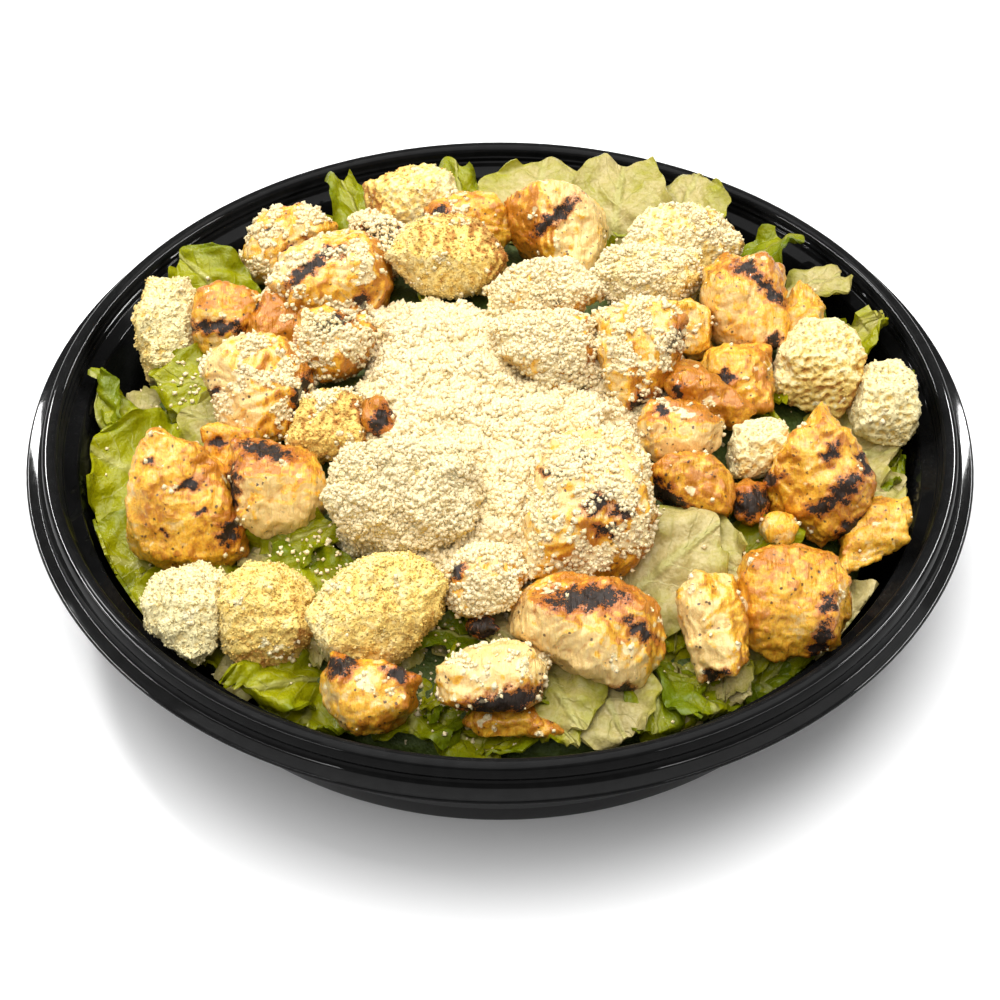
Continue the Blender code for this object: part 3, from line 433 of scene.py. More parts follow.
# %% Chicken pieces
CHICKEN = {
    "left_small": dict(gold=0.45, side=(90, 0.4), marks=[(-2, -1, 6.5, 1.3, 0)]),
    "left_crusted": dict(gold=0.95, side=(0, 0.1), dust=0.25, marks=[(-6, 4, 1.2, 0.8, 0)]),
    "left_upper": dict(gold=0.25, side=(0, 0.8), dust=0.34,
                       marks=[(10.7, -1.5, 4.2, 1.3, 75), (-10.5, -1.5, 1.6, 1.0, 10)]),
    "left_shred": dict(gold=0.5, side=(180, 0.3), marks=[(-3, 2.7, 1.6, 1.0, 0)]),
    "back_left": dict(gold=0.35, side=(0, 0.6), dust=0.26,
                      marks=[(-5, 2.0, 5.4, 1.5, 42), (1.5, 6.3, 2.8, 1.2, 11),
                             (8, -6, 2.0, 1.2, 30)]),
    "back_left_front": dict(gold=0.6, side=(-30, 0.3), dust=0.6,
                            marks=[(-1, 6.0, 4.0, 2.0, 20)]),
    "back_seasoned": dict(gold=0.4, side=(30, 0.3), dust=0.4,
                          marks=[(1, -1, 1.3, 0.8, 20), (-4, 4, 1.0, 0.6, 0),
                                 (6, 1, 1.0, 0.7, 60)]),
    "back_charred": dict(gold=0.7, side=(0, 0.3), dust=0.7, marks=[(0, 0.5, 6.8, 5.4, 20)]),
    "back_marked": dict(gold=0.6, side=(180, 0.2), dust=0.15,
                        marks=[(-7.5, 2.5, 2.6, 1.5, 20), (1.7, -3, 2.4, 1.3, -10)]),
    "back_middle": dict(gold=0.25, side=(190, 0.75), marks=[(-0.5, 2.0, 6.3, 1.35, 40)]),
    "right_tall": dict(gold=0.3, side=(80, 0.5),
                       marks=[(0, 9.5, 2.6, 1.4, 0), (5.5, 4, 5.0, 1.2, -44),
                              (6.3, -9, 2.0, 1.4, 30), (-1, -11.5, 2.4, 1.3, 0)]),
    "right_strip": dict(gold=0.25, side=(90, 0.2)),
    "right_inner": dict(gold=0.25, side=(0, 0.2)),
    "right_spotted": dict(gold=0.6, side=(0, 0.3), marks=[(-3.7, 0, 1.9, 1.4, 10)]),
    "right_wedge": dict(gold=0.85, side=(90, 0.2), marks=[(-8, 0, 1.4, 1.0, 60)]),
    "right_cut": dict(gold=0.12, side=(90, 0.9), dust=0.15, marks=[(-5, 5, 1.8, 0.8, 10)]),
    "right_smooth": dict(gold=0.7, side=(0, 0.1), marks=[(-5.8, -1.8, 5.0, 1.7, -38)]),
    "right_char": dict(gold=0.9, side=(0, 0.1), marks=[(0, 0, 4.5, 2.8, 20)]),
    "right_crumb": dict(gold=0.4, side=(0, 0.1)),
    "front_right_large": dict(gold=0.6, side=(-70, 0.25),
                              marks=[(-12, -1, 2.0, 1.0, 20), (1.2, 5, 2.6, 1.3, 60),
                                     (4.0, -3.6, 4.6, 1.9, 50), (-1.2, -7.6, 2.4, 1.6, 10),
                                     (6.8, -12, 3.2, 1.6, 30), (9.7, 2.4, 2.6, 1.0, -60)]),
    "right_edge": dict(gold=0.5, side=(180, 0.1)),
    "front_right": dict(gold=0.62, side=(90, 0.2),
                        marks=[(6, 0, 2.0, 1.4, 70), (4.7, -8.5, 4.4, 1.6, 72)]),
    "middle_back": dict(gold=0.3, side=(0, 0.3), dust=0.85, marks=[(1.7, -3, 2.5, 1.0, 0)]),
    "middle": dict(gold=0.3, side=(0, 0.6), dust=0.8, marks=[(7, -7, 3.0, 1.1, -60)]),
    "middle_right": dict(gold=0.4, side=(0, 0.5), dust=0.5,
                         marks=[(7.6, 4, 3.4, 1.3, 60), (-1, -11.5, 3.2, 1.4, 65)]),
    "charred_bit": dict(gold=1.0, side=(0, 0.1), marks=[(0, -1, 3.4, 1.7, 60)]),
    "front_middle_large": dict(gold=0.25, side=(-60, 0.6), dust=0.5,
                               marks=[(1.7, 1.7, 3.2, 1.6, 30), (7.3, 0, 2.6, 1.4, -10),
                                      (3.7, -4.4, 2.6, 1.2, 0), (-1.2, 12, 2.4, 1.2, 10),
                                      (-8, 8.5, 2.0, 1.0, 0)]),
    "front_middle_cut": dict(gold=0.1, side=(50, 0.9),
                             marks=[(0, 8.5, 7.5, 2.0, 4), (11.5, 1.7, 3.4, 1.3, -30),
                                    (8, -12, 2.2, 1.4, 10)]),
    "front_middle_dusted": dict(gold=0.3, side=(0, 0.3), dust=0.75,
                                marks=[(-6.5, 3.0, 2.0, 1.2, 40)]),
    "left_inner": dict(gold=0.15, side=(100, 0.8),
                       marks=[(-9.8, -1, 5.4, 1.7, 82), (-2.4, 8.5, 5.6, 1.4, -12)]),
    "left_large": dict(gold=0.6, side=(0, 0.2),
                       marks=[(1, 3, 2.4, 0.9, 12), (10.0, -8, 3.2, 1.7, 60), (-8, 8, 1.0, 0.6, 0),
                              (4, -3, 1.0, 0.7, 50), (-5, -8, 0.9, 0.6, 0)]),
    "front_left": dict(gold=0.5, side=(0, 0.6),
                       marks=[(-6.5, 6.5, 2.8, 1.7, 20), (6, 5, 2.4, 1.4, -20)]),
    "front_seared": dict(gold=0.1, side=(-90, 0.95), dust=0.28,
                         marks=[(1.2, -5.0, 8.5, 2.2, 14)]),
    "front_crumbled": dict(gold=0.75, side=(0, 0.1), dust=0.1, marks=[(8, 0, 1.4, 0.9, 0)]),
    "front_right_lean": dict(gold=0.15, side=(0, 0.5), dust=0.1, marks=[(0, -9.5, 2.2, 1.3, 20)]),
    "front_char": dict(gold=1.0, side=(0, 0.1), marks=[(0, 0, 4.0, 2.5, 0)]),
}
print("chicken pieces:", len(CHICKEN))

# %% Croutons
CROUTONS = {
    "left_curved": dict(gold=0.12, side=(180, 0.3)),
    "left_browned": dict(gold=0.7, side=(0, 0.3), dust=0.3),
    "back_left": dict(porous=True, gold=0.35, side=(170, 0.6)),
    "back_middle": dict(gold=0.5, side=(20, 0.5), dust=0.15),
    "back_right": dict(porous=True, gold=0.3, side=(0, 0.6), dust=0.45),
    "back_right_dusted": dict(gold=0.2, side=(0, 0.3), dust=0.6),
    "right_slab": dict(porous=True, gold=0.35, side=(-60, 0.6)),
    "right_porous": dict(porous=True, gold=0.05, side=(-90, 0.3)),
    "right_pale": dict(porous=True, gold=0.12, side=(-90, 0.3)),
    "front_large": dict(gold=0.45, side=(0, 0.2)),
    "front_left_round": dict(gold=0.0, side=(0, 0.1)),
    "front_left": dict(gold=0.55, side=(-60, 0.3)),
    "middle_left": dict(buried=True, gold=0.3, side=(0, 0.2), dust=0.95),
}
print("croutons:", len(CROUTONS))


# %% [markdown]
# ## Chicken finish
# Three tones carry it: cream meat, a golden grilled skin and the char. Fibres run through
# the cut faces as fine relief. The char's edge is broken up, with a brown halo around it,
# and pepper specks are strewn over everything. Where cheese lies the colour turns cream.
# Hollows are darkened to orange-brown as painted shade. A moist film lies over it all but the char.

# %% Chicken material
def chicken_finish():
    shader = Shader("grilled_chicken_finish")
    broad = shader.noise(0.11, 3.0)
    patch = shader.noise(0.42, 4.0, rough=0.6)
    fine = shader.noise(1.6, 4.0, rough=0.65)
    fibre = shader.noise(1.0, 3.0, stretch=(1.5, 0.3, 0.3))
    ridge = shader.attribute("ridge")
    raised = shader.ramp(ridge, 0.04, 0.40)
    hollow_shade = shader.ramp(0.0 - ridge, 0.04, 0.40)
    toast = shader.attribute("toast") + 1.0 * (broad - 0.5) + 1.7 * (patch - 0.5) + 0.22 * raised
    cream = shader.mix(fibre, (0.82, 0.51, 0.15), (0.92, 0.70, 0.31))
    gold = shader.mix(shader.ramp(fine, 0.35, 0.65), (0.80, 0.36, 0.014), (0.92, 0.54, 0.05))
    meat = shader.mix(shader.ramp(toast, 0.15, 0.50), cream, gold)
    browned_and_shaded = shader.mix(shader.ramp(toast + 0.3 * fine, 0.70, 1.10), meat, (0.52, 0.185, 0.010))
    # Hollows darkened towards orange-brown: painted shade.
    browned_and_shaded = shader.mix(0.6 * hollow_shade, browned_and_shaded, (0.52, 0.19, 0.016))
    ragged = shader.ramp(shader.noise(0.8, 4.0, rough=0.7), 0.32, 0.68) - 0.5
    torn = shader.ramp(shader.noise(2.2, 3.0, rough=0.7), 0.32, 0.68) - 0.5
    marked = shader.attribute("char")
    char = marked + 0.45 * ragged + 0.35 * torn
    halo_share = shader.ramp(marked + 0.35 * ragged + 0.2 * torn, 0.05, 0.62)
    halo = shader.mix(halo_share * 0.9, browned_and_shaded, (0.42, 0.105, 0.006))
    burnt = shader.ramp(char, 0.62, 0.76) * shader.ramp(marked, 0.05, 0.25)
    charred = shader.mix(burnt, halo, (0.016, 0.007, 0.002))
    speck_size = shader.cells(0.55)
    speck_pick = shader.ramp(shader.noise(0.3, 2.0), 0.47, 0.56)
    specks = shader.ramp(speck_size + 0.15 * torn, 0.24, 0.14) * speck_pick
    seasoned = shader.mix(specks * 0.9, charred, (0.055, 0.022, 0.008))
    dusted = shader.cheese_share(patch)
    colour = shader.mix(dusted * (1.0 - 0.8 * burnt), seasoned, (0.93, 0.80, 0.46))
    shader.bump(0.8 * fibre + 0.35 * fine + 0.4 * patch - 0.3 * burnt * fine, 0.8)
    return shader.finish(Base_Color=colour,
                         Roughness=0.22 + 0.2 * fine + 0.3 * dusted + 0.3 * burnt,
                         Coat_Weight=0.35 - 0.35 * burnt, Coat_Roughness=0.15,
                         Subsurface_Weight=0.15, Subsurface_Scale=3.0 * MM,
                         Subsurface_Radius=(1.0, 0.6, 0.3))


# %% [markdown]
# ## Crouton finish
# Toasted bread runs from pale crumb to gold and, on the browned side, to crust. Its pits
# and hollows are darkened as painted shade, and it is dull all over.

# %% Crouton material
def crouton_finish():
    shader = Shader("crouton_finish")
    broad = shader.noise(0.12, 3.0)
    patch = shader.noise(0.5, 4.0, rough=0.6)
    crumb = shader.noise(1.5, 3.0, rough=0.7)
    pores = shader.cells(0.75)
    ridge = shader.attribute("ridge")
    hollow_shade = shader.ramp(0.0 - ridge, 0.0, 0.28)
    # The hollows add to the toast here as painted shade.
    toast = shader.attribute("toast") + 0.6 * (broad - 0.5) + 0.7 * (patch - 0.5) + 0.25 * hollow_shade
    pale = shader.mix(crumb, (1.0, 0.80, 0.35), (1.0, 0.93, 0.56))
    golden = shader.mix(crumb, (1.0, 0.60, 0.10), (1.0, 0.80, 0.26))
    bread = shader.mix(shader.ramp(toast, 0.05, 0.65), pale, golden)
    crust = shader.mix(shader.ramp(toast + 0.25 * crumb, 0.80, 1.2), bread, (0.48, 0.17, 0.02))
    hollow = shader.ramp(crumb, 0.46, 0.30)
    # Pits and hollows turned deeper gold: painted shade.
    shaded_pits = shader.mix(0.3 * hollow + 0.3 * hollow_shade, crust, (0.93, 0.60, 0.14))
    dusted = shader.cheese_share(patch)
    colour = shader.mix(dusted, shaded_pits, (0.94, 0.84, 0.52))
    shader.bump(0.8 * crumb - 0.4 * hollow + 0.25 * pores, 0.8)
    return shader.finish(Base_Color=colour, Roughness=0.65 + 0.2 * crumb)


# %% [markdown]
# ## Crumbs
# Grated cheese and bread crumbs are the same eight-sided grain. It is modelled once, and
# every crumb is a turned and stretched copy of it with its corners moved. A weight says
# where on a surface they fall.

# %% Places on a surface
def surface_points(item, count, weigh):
    """Random places on an object's faces, as thick as weigh(centre, normal) says.

    Gives the places, the normals there and a vertex near each of them.
    """
    mesh = item.data
    mesh.calc_loop_triangles()
    corners = read(mesh.loop_triangles, "vertices", 3, np.int32)
    places = vertex_places(mesh)[corners]
    first, second, third = places[:, 0], places[:, 1], places[:, 2]
    cross = np.cross(second - first, third - first)
    area = np.linalg.norm(cross, axis=1) / 2
    normals = cross / np.maximum(area, 1e-9)[:, None] / 2
    weight = area * np.clip(weigh(places.mean(axis=1), normals), 0.0, None)
    chosen = dice.choice(len(weight), size=count, p=weight / weight.sum())
    u, v = dice.random((2, count, 1))
    over = (u + v) > 1.0
    u, v = np.where(over, 1.0 - u, u), np.where(over, 1.0 - v, v)
    points = first[chosen] + u * (second - first)[chosen] + v * (third - first)[chosen]
    return points, normals[chosen], corners[chosen, 0]


def random_turns(count):
    """Rotation matrices that turn any way, all equally likely."""
    q = dice.normal(size=(count, 4))
    w, x, y, z = (q / np.linalg.norm(q, axis=1, keepdims=True)).T
    return np.stack([
        np.stack([1 - 2 * (y * y + z * z), 2 * (x * y - z * w), 2 * (x * z + y * w)], axis=1),
        np.stack([2 * (x * y + z * w), 1 - 2 * (x * x + z * z), 2 * (y * z - x * w)], axis=1),
        np.stack([2 * (x * z - y * w), 2 * (y * z + x * w), 1 - 2 * (x * x + y * y)], axis=1),
    ], axis=1)


# %% Crumb mesh
CRUMB_HALF = 0.62
CRUMB_LIFT = 0.25


def one_crumb():
    """An eight-sided crumb: four corners around its waist, a top and a bottom."""
    corners = CRUMB_HALF * np.array([(1, 0, 0), (0, 1, 0), (-1, 0, 0), (0, -1, 0),
                                     (0, 0, 1), (0, 0, -1)])
    top = [(side, (side + 1) % 4, 4) for side in range(4)]
    bottom = [((side + 1) % 4, side, 5) for side in range(4)]
    return corners, np.array(top + bottom)


def join_crumbs(name, points, normals, sizes):
    """One mesh of crumbs that stand on the given points."""
    corners, faces = one_crumb()
    count = len(points)
    stretch = dice.uniform(0.75, 1.3, (count, 1, 3)) * sizes[:, None, None]
    shapes = corners[None] * stretch
    shapes *= 1.0 + dice.uniform(-0.2, 0.2, (count, len(corners), 1))
    shapes = np.einsum("nij,nkj->nki", random_turns(count), shapes)
    places = shapes + (points + normals * sizes[:, None] * CRUMB_LIFT)[:, None]
    indices = faces[None] + (np.arange(count) * len(corners))[:, None, None]
    mesh = bpy.data.meshes.new(name)
    mesh.from_pydata((places.reshape(-1, 3) * MM).tolist(), [], indices.reshape(-1, 3).tolist())
    mesh.shade_smooth()
    return start_object(name, mesh)


def patchy(points, scale, seed):
    """Smooth noise at each point, about -1 to 1."""
    shift = Vector((seed, 0, 0))
    return np.array([noise.noise(Vector(point) * scale + shift) for point in points])


# %% [markdown]
# ## Pieces
# The piece's solid is merged, remeshed finely, eased, and pushed in and out by procedural
# patterns: large torn lumps and small ones for meat, cell-shaped crumbs for bread. Browning
# and char are stored on the vertices, from where they sit on the piece.

# %% Relief patterns
LUMPS = pattern("meat_lumps", "CLOUDS", 7.0, noise_depth=2)
CHUNKS = pattern("meat_chunks", "VORONOI", 8.0, distance_metric="DISTANCE")
LAYERS = pattern("meat_layers", "MARBLE", 6.0, turbulence=24.0, noise_depth=1)
FLAKES = pattern("meat_flakes", "CLOUDS", 1.8, noise_depth=2)
CRUMBS = pattern("bread_crumbs", "VORONOI", 1.2, distance_metric="DISTANCE")
PORES = pattern("bread_pores", "VORONOI", 1.7, distance_metric="DISTANCE")
GRATED = pattern("grated_relief", "VORONOI", 2.0, distance_metric="DISTANCE")
HOLLOWS = pattern("bread_hollows", "CLOUDS", 2.6, noise_depth=2)
print("relief patterns:", len(bpy.data.textures))


# %% Where a piece is charred and dusted
MARK_CORE, MARK_REACH = 0.6, 2.1
MARKED_BACK_TO = -4.0


def seen_square(places, middle):
    """Places (or directions) as (right, up, front) of the piece's middle, along its tilt."""
    away = places - middle
    up = away[:, 1] * math.cos(FACING) + away[:, 2] * math.sin(FACING)
    front = -away[:, 1] * math.sin(FACING) + away[:, 2] * math.cos(FACING)
    return np.stack((away[:, 0], up, front), axis=1)


def char_amount(seen, marks):
    """How charred each place is: 1 in the core of a mark, 0 from its reach on."""
    amount = np.zeros(len(seen))
    waver = 0.7 * np.sin(1.9 * seen[:, 1] + 0.8 * seen[:, 0])
    sway = 0.6 * np.sin(1.6 * seen[:, 0] - 0.9 * seen[:, 1])
    for right, up, half_length, half_width, turn in marks:
        angle = math.radians(turn)
        across, along = seen[:, 0] - right + waver, seen[:, 1] - up + sway
        u = (across * math.cos(angle) + along * math.sin(angle)) / half_length
        v = (-across * math.sin(angle) + along * math.cos(angle)) / half_width
        near = np.clip((MARK_REACH - np.sqrt(u * u + v * v)) / (MARK_REACH - MARK_CORE), 0.0, 1.0)
        amount = np.maximum(amount, near * (seen[:, 2] > MARKED_BACK_TO))
    return amount


def dust_cover(places, dust):
    """How much cheese lies at each place: 1 inside the clusters, 0 on the bare patches."""
    cluster = patchy(places, 0.16, 5.0) + 0.7 * patchy(places, 0.55, 9.0)
    return np.clip((cluster + 1.35 * dust - 0.62) * 4.0 + 0.5, 0.0, 1.0)


# %% Piece maker
FULLNESS = 0.6


def finish_piece(node, spec, material, slot, shaping, fineness, eased):
    """A finished chicken piece or crouton over its solid."""
    item = copy_of_solid(node, node + "_finished")
    apply_modifier(item, "DISPLACE", strength=FULLNESS * MM, mid_level=0.0)
    low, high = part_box(node)
    middle = np.array((low + high) / 2) / MM
    apply_modifier(item, "REMESH", mode="VOXEL", voxel_size=fineness * MM)
    apply_modifier(item, "SMOOTH", factor=0.5, iterations=eased)
    for texture, height, level in shaping:
        displace(item, texture, height, level)
    seen = seen_square(vertex_places(item.data), middle)
    facing = seen_square(vertex_normals(item.data), np.zeros(3))
    direction, share = spec["side"]
    angle = math.radians(direction)
    turned = facing[:, 0] * math.cos(angle) + facing[:, 1] * math.sin(angle)
    store(item.data, "ridge", ridge_height(item.data))
    store(item.data, "toast", spec["gold"] + share * np.clip(turned * 1.6, -0.3, 1.0))
    store(item.data, "char", char_amount(seen, spec.get("marks", [])))
    turned_up = np.clip(1.5 * (facing[:, 2] + facing[:, 1]) + 0.2, 0.0, 1.0)
    cover = dust_cover(vertex_places(item.data), spec.get("dust", 0.0))
    store(item.data, "dust", cover * turned_up)
    item.data.materials.append(material)
    smooth_shaded(item)
    hand_over(item, slot, node)
    return item


def add_bread_crumbs(item, per_mm2):
    """Loose crumbs over a crouton's surface, as golden as the spot they stand on."""
    area = surface_area(item)
    points, normals, source = surface_points(item, int(area * per_mm2),
                                             lambda place, normal: np.ones(len(place)))
    sizes = 0.3 + 0.45 * dice.random(len(points))
    crumbs = join_crumbs(item.name + "_crumbs", points, normals, sizes)
    corners_each = len(crumbs.data.vertices) // len(points)
    for name in ("toast", "dust", "ridge"):
        values = read(item.data.attributes[name].data, "value")
        store(crumbs.data, name, np.repeat(values[source], corners_each))
    crumbs.data.materials.append(crouton_material)
    join(item, [crumbs])


# %% Chicken and croutons in place
chicken_material = chicken_finish()
crouton_material = crouton_finish()
MEAT_SHAPING = ((CHUNKS, 1.7, 0.45), (LUMPS, 1.3, 0.5), (LAYERS, 0.5, 0.5), (FLAKES, 0.7, 0.5))
BREAD_SHAPING = ((HOLLOWS, 1.7, 0.5), (CRUMBS, -0.65, 0.4))
POROUS_SHAPING = ((HOLLOWS, 0.5, 0.5), (PORES, 1.5, 0.55))
BURIED_SHAPING = ((LUMPS, 5.0, 0.5), (GRATED, 1.2, 0.3))
MEAT_FINENESS, BREAD_FINENESS = 0.62, 0.5
CRUMBS_PER_MM2, POROUS_CRUMBS_PER_MM2 = 0.7, 0.08
dusty = []
for name, spec in CHICKEN.items():
    piece = finish_piece("chicken_" + name, spec, chicken_material, "grilled_chicken",
                         MEAT_SHAPING, MEAT_FINENESS, 1)
    dusty.append((piece, spec.get("dust", 0.0)))
for name, spec in CROUTONS.items():
    porous = "porous" in spec
    shaping = POROUS_SHAPING if porous else BREAD_SHAPING
    if "buried" in spec:
        shaping = BURIED_SHAPING
    piece = finish_piece("crouton_" + name, spec, crouton_material, "crouton",
                         shaping, BREAD_FINENESS, 0)
    add_bread_crumbs(piece, POROUS_CRUMBS_PER_MM2 if porous else CRUMBS_PER_MM2)
    dusty.append((piece, spec.get("dust", 0.0)))
print("pieces:", len(dusty), "faces:", sum(len(piece.data.polygons) for piece, _ in dusty))


# %% [markdown]
# ## Grated cheese
# Hard cheese grated fine falls as loose crumbs about a millimetre across. The heap is its
# solid with mounds, clumps and a relief of crumbs worked into it, and loose crumbs joined
# on top.

# %% Cheese material
def cheese_finish():
    shader = Shader("grated_cheese_finish")
    broad = shader.noise(0.15, 3.0)
    grain = shader.noise(0.9, 3.0)
    colour = shader.mix(grain, (0.86, 0.67, 0.33), (0.97, 0.87, 0.60))
    warm = shader.mix(shader.ramp(broad, 0.45, 0.75) * 0.4, colour, (0.93, 0.74, 0.32))
    shader.bump(shader.noise(2.2, 3.0) + grain, 0.4)
    return shader.finish(Base_Color=warm, Roughness=0.5 + 0.2 * grain)


# %% Cheese heap
cheese_material = cheese_finish()
CLUMPS = pattern("grated_clumps", "VORONOI", 4.2, distance_metric="DISTANCE")
MOUNDS = pattern("grated_mounds", "CLOUDS", 7.0, noise_depth=3)
HEAP_GRAINS = 21000
heap = copy_of_solid("cheese_heap", "cheese_heap_finished")
apply_modifier(heap, "REMESH", mode="VOXEL", voxel_size=1.2 * MM)
apply_modifier(heap, "SMOOTH", factor=0.5, iterations=3)
displace(heap, MOUNDS, 6.0)
displace(heap, CLUMPS, -2.6, 0.3)
displace(heap, GRATED, 1.2, 0.3)
points, normals = surface_points(heap, HEAP_GRAINS, lambda place, normal: normal[:, 2] - 0.05)[:2]
grain_sizes = 0.6 + 1.0 * dice.random(len(points)) ** 1.5
join(heap, [join_crumbs("heap_crumbs", points, normals, grain_sizes)])
heap.data.materials.append(cheese_material)
hand_over(heap, "grated_cheese", "cheese_heap")
print("cheese faces:", len(heap.data.polygons))


# %% [markdown]
# The same crumbs are strewn over the pieces around it. They keep to the clusters where the
# piece's own colour is dusted, on the sides that look up or to the front.

# %% Places of strewn cheese
def strewn(piece, dust):
    """Places and normals of the crumbs that lie on a piece."""
    area = surface_area(piece)
    count = int(area * (0.25 + 1.1 * dust))
    points, normals = surface_points(
        piece, count, lambda place, normal: normal[:, 2] - 0.45 * normal[:, 1] + 0.1)[:2]
    keep = dust_cover(points, dust) > dice.uniform(0.1, 0.9, len(points))
    return points[keep], normals[keep]


# %% [markdown]
# ## Lettuce
# Cut romaine and iceberg: thin wavy sheets with a pale midrib, side veins and ruffled,
# torn edges. Outer leaves are a bright yellow-green and inner ones almost white. Each leaf
# is a grid laid along its own curve; the tone runs from 0 for iceberg white to 1 for deep
# green. Under them lies a bed, dark with painted shade, that closes the gaps.

# %% Leaves that show
def cut_leaf(at, heading, rise, roll, width, tone, length=24, bend=3, ruffle=2):
    """One leaf: its root and angles in degrees, and its sizes in mm."""
    return dict(at=at, heading=heading, rise=rise, roll=roll, length=length, width=width,
                bend=bend, ruffle=ruffle, tone=tone)


LEAVES = [
    cut_leaf((-94, 0), heading=112, rise=44, roll=-40, width=15, tone=0.8, length=26),
    cut_leaf((-74, -18), heading=165, rise=30, roll=-14, width=36, tone=0.62, length=25, bend=-3, ruffle=3),
    cut_leaf((-72, -42), heading=178, rise=24, roll=-14, width=30, tone=0.7, length=26, bend=-3, ruffle=3),
    cut_leaf((-56, -8), heading=160, rise=22, roll=-14, width=22, tone=0.3, length=22, bend=2),
    cut_leaf((-62, 12), heading=175, rise=20, roll=-8, width=20, tone=0.6, bend=2, ruffle=3),
    cut_leaf((-66, -52), heading=205, rise=16, roll=-12, width=24, tone=0.45, bend=-2, ruffle=3),
    cut_leaf((-40, -76), heading=208, rise=26, roll=-20, width=16, tone=0.7, length=26, ruffle=3),
    cut_leaf((-42, -76), heading=262, rise=16, roll=10, width=22, tone=0.75, length=20, bend=-2, ruffle=3),
    cut_leaf((-34, -60), heading=160, rise=20, roll=-20, width=22, tone=0.8, ruffle=4),
    cut_leaf((-58, -46), heading=10, rise=20, roll=20, width=16, tone=0.75, ruffle=4),
    cut_leaf((-18, -76), heading=265, rise=12, roll=0, width=26, tone=0.8, length=18, bend=-2),
    cut_leaf((8, -72), heading=292, rise=18, roll=18, width=24, tone=0.35),
    cut_leaf((22, -76), heading=285, rise=18, roll=20, width=22, tone=0.22, length=22),
    cut_leaf((32, -72), heading=275, rise=16, roll=-20, width=16, tone=0.8),
    cut_leaf((38, -74), heading=300, rise=16, roll=-24, width=20, tone=0.85),
    cut_leaf((50, -80), heading=30, rise=30, roll=30, width=14, tone=0.75, bend=-2),
    cut_leaf((26, -60), heading=30, rise=26, roll=22, width=28, tone=0.18, length=30, ruffle=3),
    cut_leaf((34, -44), heading=-30, rise=26, roll=24, width=24, tone=0.2, length=26, ruffle=3),
    cut_leaf((48, -46), heading=0, rise=24, roll=26, width=22, tone=0.7, length=22, bend=-2, ruffle=3),
    cut_leaf((74, -54), heading=335, rise=18, roll=24, width=24, tone=0.08, length=20, bend=2),
    cut_leaf((58, -72), heading=320, rise=12, roll=20, width=16, tone=0.9, length=20, bend=2),
    cut_leaf((-10, 74), heading=96, rise=46, roll=10, width=14, tone=0.72, bend=2),
    cut_leaf((8, 74), heading=80, rise=40, roll=6, width=32, tone=0.3, length=25),
    cut_leaf((30, 70), heading=82, rise=42, roll=-6, width=28, tone=0.25, length=28, bend=4),
    cut_leaf((46, 68), heading=72, rise=42, roll=-14, width=24, tone=0.3, length=28, bend=4),
    cut_leaf((60, 50), heading=50, rise=34, roll=-24, width=18, tone=0.75, length=26, bend=4, ruffle=3),
    cut_leaf((68, 40), heading=34, rise=34, roll=-24, width=18, tone=0.25, length=26),
    cut_leaf((76, 32), heading=20, rise=34, roll=-24, width=20, tone=0.4, length=26, bend=-2),
    cut_leaf((88, 14), heading=20, rise=44, roll=-40, width=9, tone=0.75, length=18, bend=2, ruffle=1),
    cut_leaf((74, -4), heading=-5, rise=16, roll=14, width=26, tone=0.2, length=22, bend=-2),
    cut_leaf((-66, 46), heading=140, rise=38, roll=-20, width=20, tone=0.7),
    cut_leaf((-34, 70), heading=112, rise=38, roll=0, width=12, tone=0.75, length=26, bend=2),
]


# %% [markdown]
# The finish follows the leaf itself: its map runs along the leaf and across it, so the
# midrib is where across is zero and side veins slant away from it. A share of light comes
# through the thin sheet.

# %% Leaf material
def leaf_finish():
    shader = Shader("lettuce_finish")
    spot = shader.node("ShaderNodeSeparateXYZ", None,
                       {0: shader.node("ShaderNodeUVMap", {"uv_map": "leaf"}).outputs[0]})
    along, across = Value(shader, spot.outputs[0]), Value(shader, spot.outputs[1])
    side = across.absolute()
    broad = shader.noise(0.09, 3.0)
    patch = shader.noise(0.35, 4.0)
    fine = shader.noise(1.3, 4.0)
    rib = shader.ramp(side - 0.05 * patch, 0.10, 0.0)
    slant = (along * 5.5 - side * 2.4 + 0.5 * patch).fraction()
    veins = shader.ramp(slant, 0.09, 0.0) * shader.ramp(side, 1.0, 0.1)
    tone = shader.attribute("tone") + 0.5 * (broad - 0.5) + 0.35 * (patch - 0.5)
    tone = tone + 0.15 * (side - 0.4)
    white = shader.mix(fine, (0.50, 0.40, 0.12), (0.71, 0.60, 0.29))
    bright = shader.mix(patch, (0.29, 0.30, 0.001), (0.46, 0.44, 0.004))
    green = shader.mix(patch, (0.10, 0.15, 0.002), (0.22, 0.28, 0.005))
    leaf = shader.mix(shader.ramp(tone, 0.12, 0.55), white, bright)
    leaf = shader.mix(shader.ramp(tone, 0.62, 1.0), leaf, green)
    colour = shader.mix(0.6 * rib + 0.4 * veins, leaf, (0.56, 0.53, 0.16))
    shader.bump(1.2 * patch + 0.2 * veins + 0.5 * rib + 0.12 * fine, 0.9)
    shader.finish(Base_Color=colour, Roughness=0.18 + 0.2 * fine, IOR=1.42)
    through = shader.node("ShaderNodeBsdfTranslucent", None, {"Color": colour})
    blend = shader.node("ShaderNodeMixShader", None,
                        {0: 0.30, 1: shader.surface.outputs[0], 2: through.outputs[0]})
    output = shader.tree.nodes["Material Output"]
    shader.feed(output.inputs["Surface"], blend.outputs[0])
    return shader.material


# %% Bed material, dark as painted shade
def bed_shade_finish():
    shader = Shader("lettuce_bed_painted_shade")
    patch = shader.noise(0.25, 4.0)
    # Dark green all over: painted shade of the lettuce deep under the leaves.
    colour = shader.mix(patch, (0.02, 0.035, 0.004), (0.12, 0.17, 0.02))
    shader.bump(patch + 0.4 * shader.noise(1.1), 1.5)
    return shader.finish(Base_Color=colour, Roughness=0.5 + 0.2 * patch)


